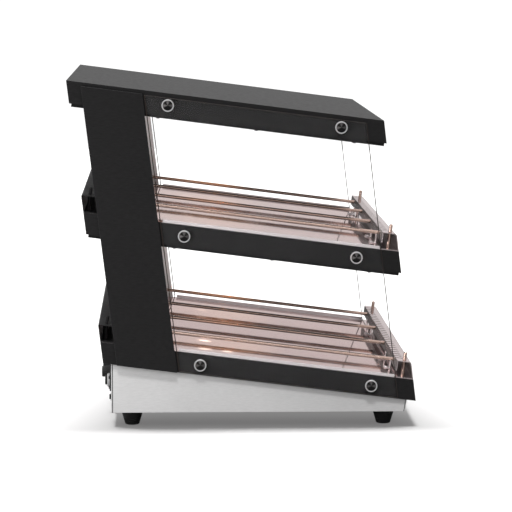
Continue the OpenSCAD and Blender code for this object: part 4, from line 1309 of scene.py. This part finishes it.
class WARMER_OT_fasteners(bpy.types.Operator):
    """Cross-head screws under the lamp pans and on the control plate, and the wiring"""
    bl_idname = "warmer.fasteners"
    bl_label = "Screws and wiring"

    def execute(self, context):
        self.screws("pan_screws", "pan_screw_heads", -DECK_UP)
        self.screws("panel_screws", "panel_screw_heads", REAR)
        dress({"post_wires": "wire_jacket", "wire_grommets": "rubber"})
        return {"FINISHED"}

    def screws(self, node, name, axis):
        """Pan heads on short shanks, which look along an axis."""
        solids = islands(node)
        wide, top = extent(solids[0], RIGHT) / 2, extent(solids[0], axis)
        shank = head = wide * 0.5
        profile = [(0, 0), (shank, 0), (shank, top - head), (wide, top - head), (wide, top - head * 0.7),
                   (wide * 0.9, top - head * 0.25), (wide * 0.62, top), (wide * 0.5, top), (0, top)]
        bm = turned(profile, 32)
        cross_recess(bm, wide * 0.55, wide * 0.13, head * 0.6, top)
        template = object_from(bm, name + "_template")
        places = [stood(points, axis) for points in solids]
        copies(name, template, places, "black_screw", nodes=[node], smooth=25)


def cross_recess(bm, reach, half, depth, top):
    """Cuts a cross-shaped recess into a screw's face."""
    taper = 0.8
    outline = []
    for quarter in range(4):
        turn = Matrix.Rotation(quarter * math.pi / 2, 3, "Z")
        outline += [turn @ Vector(p) for p in ((reach, -half, 0), (reach, half, 0), (half, half, 0))]
    face = [f for f in bm.faces if all(abs(v.co.z - top) < 1e-9 for v in f.verts)]
    border = [e for e in bm.edges if len([f for f in e.link_faces if f in face]) == 1]
    bmesh.ops.delete(bm, geom=face, context="FACES_ONLY")
    high = [bm.verts.new((p.x, p.y, top)) for p in outline]
    low = [bm.verts.new((p.x * taper, p.y * taper, top - depth)) for p in outline]
    rim = [bm.edges.new((a, b)) for a, b in zip(high, high[1:] + high[:1])]
    wall_between(bm, high, low)
    bm.faces.new(low)
    bmesh.ops.triangle_fill(bm, edges=border + rim, use_beauty=True)
    bmesh.ops.delete(bm, geom=[v for v in bm.verts if not v.link_faces], context="VERTS")


class WARMER_OT_stage(bpy.types.Operator):
    """Camera, pale floor and soft light"""
    bl_idname = "warmer.stage"
    bl_label = "Stage"

    def execute(self, context):
        stage = settings("stage")
        self.camera(context, stage)
        floor = self.floor(stage)
        # Each sun's strength, the direction it comes from and its spread in degrees
        self.sun("key_light", stage.key, (-1, 0.12, 1.75), 8, floor)
        self.sun("top_light", stage.top, (-0.1, 0.15, 1), 40, floor)
        self.side_light(stage, floor)
        self.floor_light(stage, floor)
        self.world(context, stage)
        context.scene.view_settings.view_transform = "Standard"
        return {"FINISHED"}

    def camera(self, context, stage):
        """The photograph's view, from the warmer's left side."""
        data = bpy.data.cameras.new("photo_camera")
        data.lens = stage.lens
        data.sensor_width = 36
        data.clip_end = 200
        camera = add_object("photo_camera", data)
        sin_h, cos_h = math.sin(stage.heading), math.cos(stage.heading)
        sin_p, cos_p = math.sin(stage.pitch), math.cos(stage.pitch)
        ahead = Vector((cos_h * cos_p, -sin_h * cos_p, -sin_p))
        level = Vector((-sin_h, -cos_h, 0))
        above = level.cross(ahead)
        right = level * math.cos(stage.roll) + above * math.sin(stage.roll)
        above = above * math.cos(stage.roll) - level * math.sin(stage.roll)
        axes = Matrix((right, above, -ahead)).transposed().to_4x4()
        camera.matrix_world = Matrix.Translation(Vector(stage.eye)) @ axes
        context.scene.camera = camera

    def floor(self, stage):
        """A floor that is dark to the room and pale to the camera, with painted light, seen only by the
        camera, that grows along +X and lightens the shadow deeper under the warmer.
        """
        bm = bmesh.new()
        bmesh.ops.create_circle(bm, cap_ends=True, radius=stage.floor_radius, segments=96)
        floor = object_from(bm, "floor")
        material = bpy.data.materials.new("floor_white")
        material.use_nodes = True
        tree = material.node_tree
        tree.nodes.clear()
        place = tree.nodes.new("ShaderNodeTexCoord").outputs["Object"]
        seen = straight_view(tree)
        # Painted light: a glow, seen only by the camera, that lightens the floor's shadow more the further it
        # lies along +X
        fill = remap(tree, axis_of(tree, place, "X"), -0.36, 0.0, 0.09, 0.45)
        glow = add_node(tree, "ShaderNodeEmission", {"Color": (1, 0.985, 0.985),
                                                     "Strength": product(tree, seen, fill)})
        tone = mixed(tree, seen, (0.11, 0.11, 0.11), (0.33, 0.328, 0.328))
        diffuse = add_node(tree, "ShaderNodeBsdfDiffuse", {"Color": tone})
        both = add_node(tree, "ShaderNodeAddShader", {0: diffuse.outputs["BSDF"],
                                                      1: glow.outputs["Emission"]})
        add_node(tree, "ShaderNodeOutputMaterial", {"Surface": both.outputs["Shader"]})
        floor.data.materials.append(material)
        return floor

    def light(self, data, from_way, place, floor, state):
        """Adds a light that either leaves the floor out or lights nothing else."""
        light = hang_light(data, place, from_way)
        receivers = bpy.data.collections.new(data.name + "_receivers")
        receivers.objects.link(floor)
        light.light_linking.receiver_collection = receivers
        receivers.collection_objects[0].light_linking.link_state = state
        return light

    def sun(self, name, strength, from_way, spread, floor):
        """A soft light from far away, which leaves the floor out."""
        data = bpy.data.lights.new(name, "SUN")
        data.energy = strength
        data.angle = math.radians(spread)
        self.light(data, Vector(from_way), Vector(), floor, "EXCLUDE")

    def side_light(self, stage, floor):
        """A soft box near the rear left, from which the base darkens towards the front."""
        place, target = Vector((-0.9, 0.75, 0.35)), Vector((-0.3, 0.1, 0.1))
        data = bpy.data.lights.new("side_light", "AREA")
        data.energy = stage.side
        data.size = 0.5
        self.light(data, place - target, place, floor, "EXCLUDE").visible_glossy = False

    def floor_light(self, stage, floor):
        """A long panel high over the floor: sharp towards the camera, soft along the warmer's depth."""
        height = 30
        place = Vector((height * math.tan(stage.floor_tilt), 3.5, height))
        data = bpy.data.lights.new("floor_light", "AREA")
        data.shape = "RECTANGLE"
        data.size = 3.2
        data.size_y = 13
        data.energy = stage.floor_light * math.pi ** 2 * height ** 2
        self.light(data, UP, place, floor, "INCLUDE")

    def world(self, context, stage):
        """White to the camera and through glass, a soft room to reflections and an even light to the rest."""
        world = bpy.data.worlds.new("studio")
        world.use_nodes = True
        tree = world.node_tree
        tree.nodes.clear()
        way = tree.nodes.new("ShaderNodeTexCoord").outputs["Generated"]
        walls = remap(tree, maths(tree, "ABSOLUTE", axis_of(tree, way, "X")), 0.25, 0.7, 0.3, 0.75)
        overhead = remap(tree, axis_of(tree, way, "Z"), 0.25, 0.8, 0.0, 0.5)
        room = total(tree, walls, overhead, clamp=True)
        diffuse_depth = tree.nodes.new("ShaderNodeLightPath").outputs["Diffuse Depth"]
        mirrored = maths(tree, "LESS_THAN", diffuse_depth, 0.5)
        plain = product(tree, maths(tree, "SUBTRACT", 1.0, mirrored), stage.ambient)
        seen = straight_view(tree)
        lit = total(tree, product(tree, mirrored, room), plain)
        unseen = product(tree, lit, maths(tree, "SUBTRACT", 1.0, seen))
        strength = total(tree, unseen, product(tree, seen, 1.1))
        background = add_node(tree, "ShaderNodeBackground", {"Color": (1, 1, 1), "Strength": strength})
        add_node(tree, "ShaderNodeOutputWorld", {"Surface": background.outputs["Background"]})
        context.scene.world = world


OPERATORS = (WARMER_OT_stage, WARMER_OT_canopy, WARMER_OT_decks, WARMER_OT_rails, WARMER_OT_rods,
             WARMER_OT_posts, WARMER_OT_glass, WARMER_OT_buttons, WARMER_OT_lamps, WARMER_OT_base,
             WARMER_OT_controls, WARMER_OT_knobs, WARMER_OT_switches, WARMER_OT_fasteners)


class WARMER_PT_pieces(bpy.types.Panel):
    """Lists the steps that build the warmer and the stage"""
    bl_idname = "WARMER_PT_pieces"
    bl_label = "Food warmer"
    bl_space_type = "VIEW_3D"
    bl_region_type = "UI"
    bl_category = "Warmer"

    def draw(self, context):
        for name, group in GROUPS.items():
            column = self.layout.column(align=True)
            for label in group.__annotations__:
                column.prop(getattr(context.scene, name), label)
        for operator in OPERATORS:
            self.layout.operator(operator.bl_idname)


def register():
    for name, group in GROUPS.items():
        bpy.utils.register_class(group)
        setattr(bpy.types.Scene, name, PointerProperty(type=group))
    for kind in (*OPERATORS, WARMER_PT_pieces):
        bpy.utils.register_class(kind)


def unregister():
    for kind in (WARMER_PT_pieces, *reversed(OPERATORS)):
        bpy.utils.unregister_class(kind)
    for name, group in reversed(list(GROUPS.items())):
        delattr(bpy.types.Scene, name)
        bpy.utils.unregister_class(group)


def main():
    register()
    for operator in OPERATORS:
        group, call = operator.bl_idname.split(".")
        getattr(getattr(bpy.ops, group), call)()


if __name__ == "__main__":
    main()
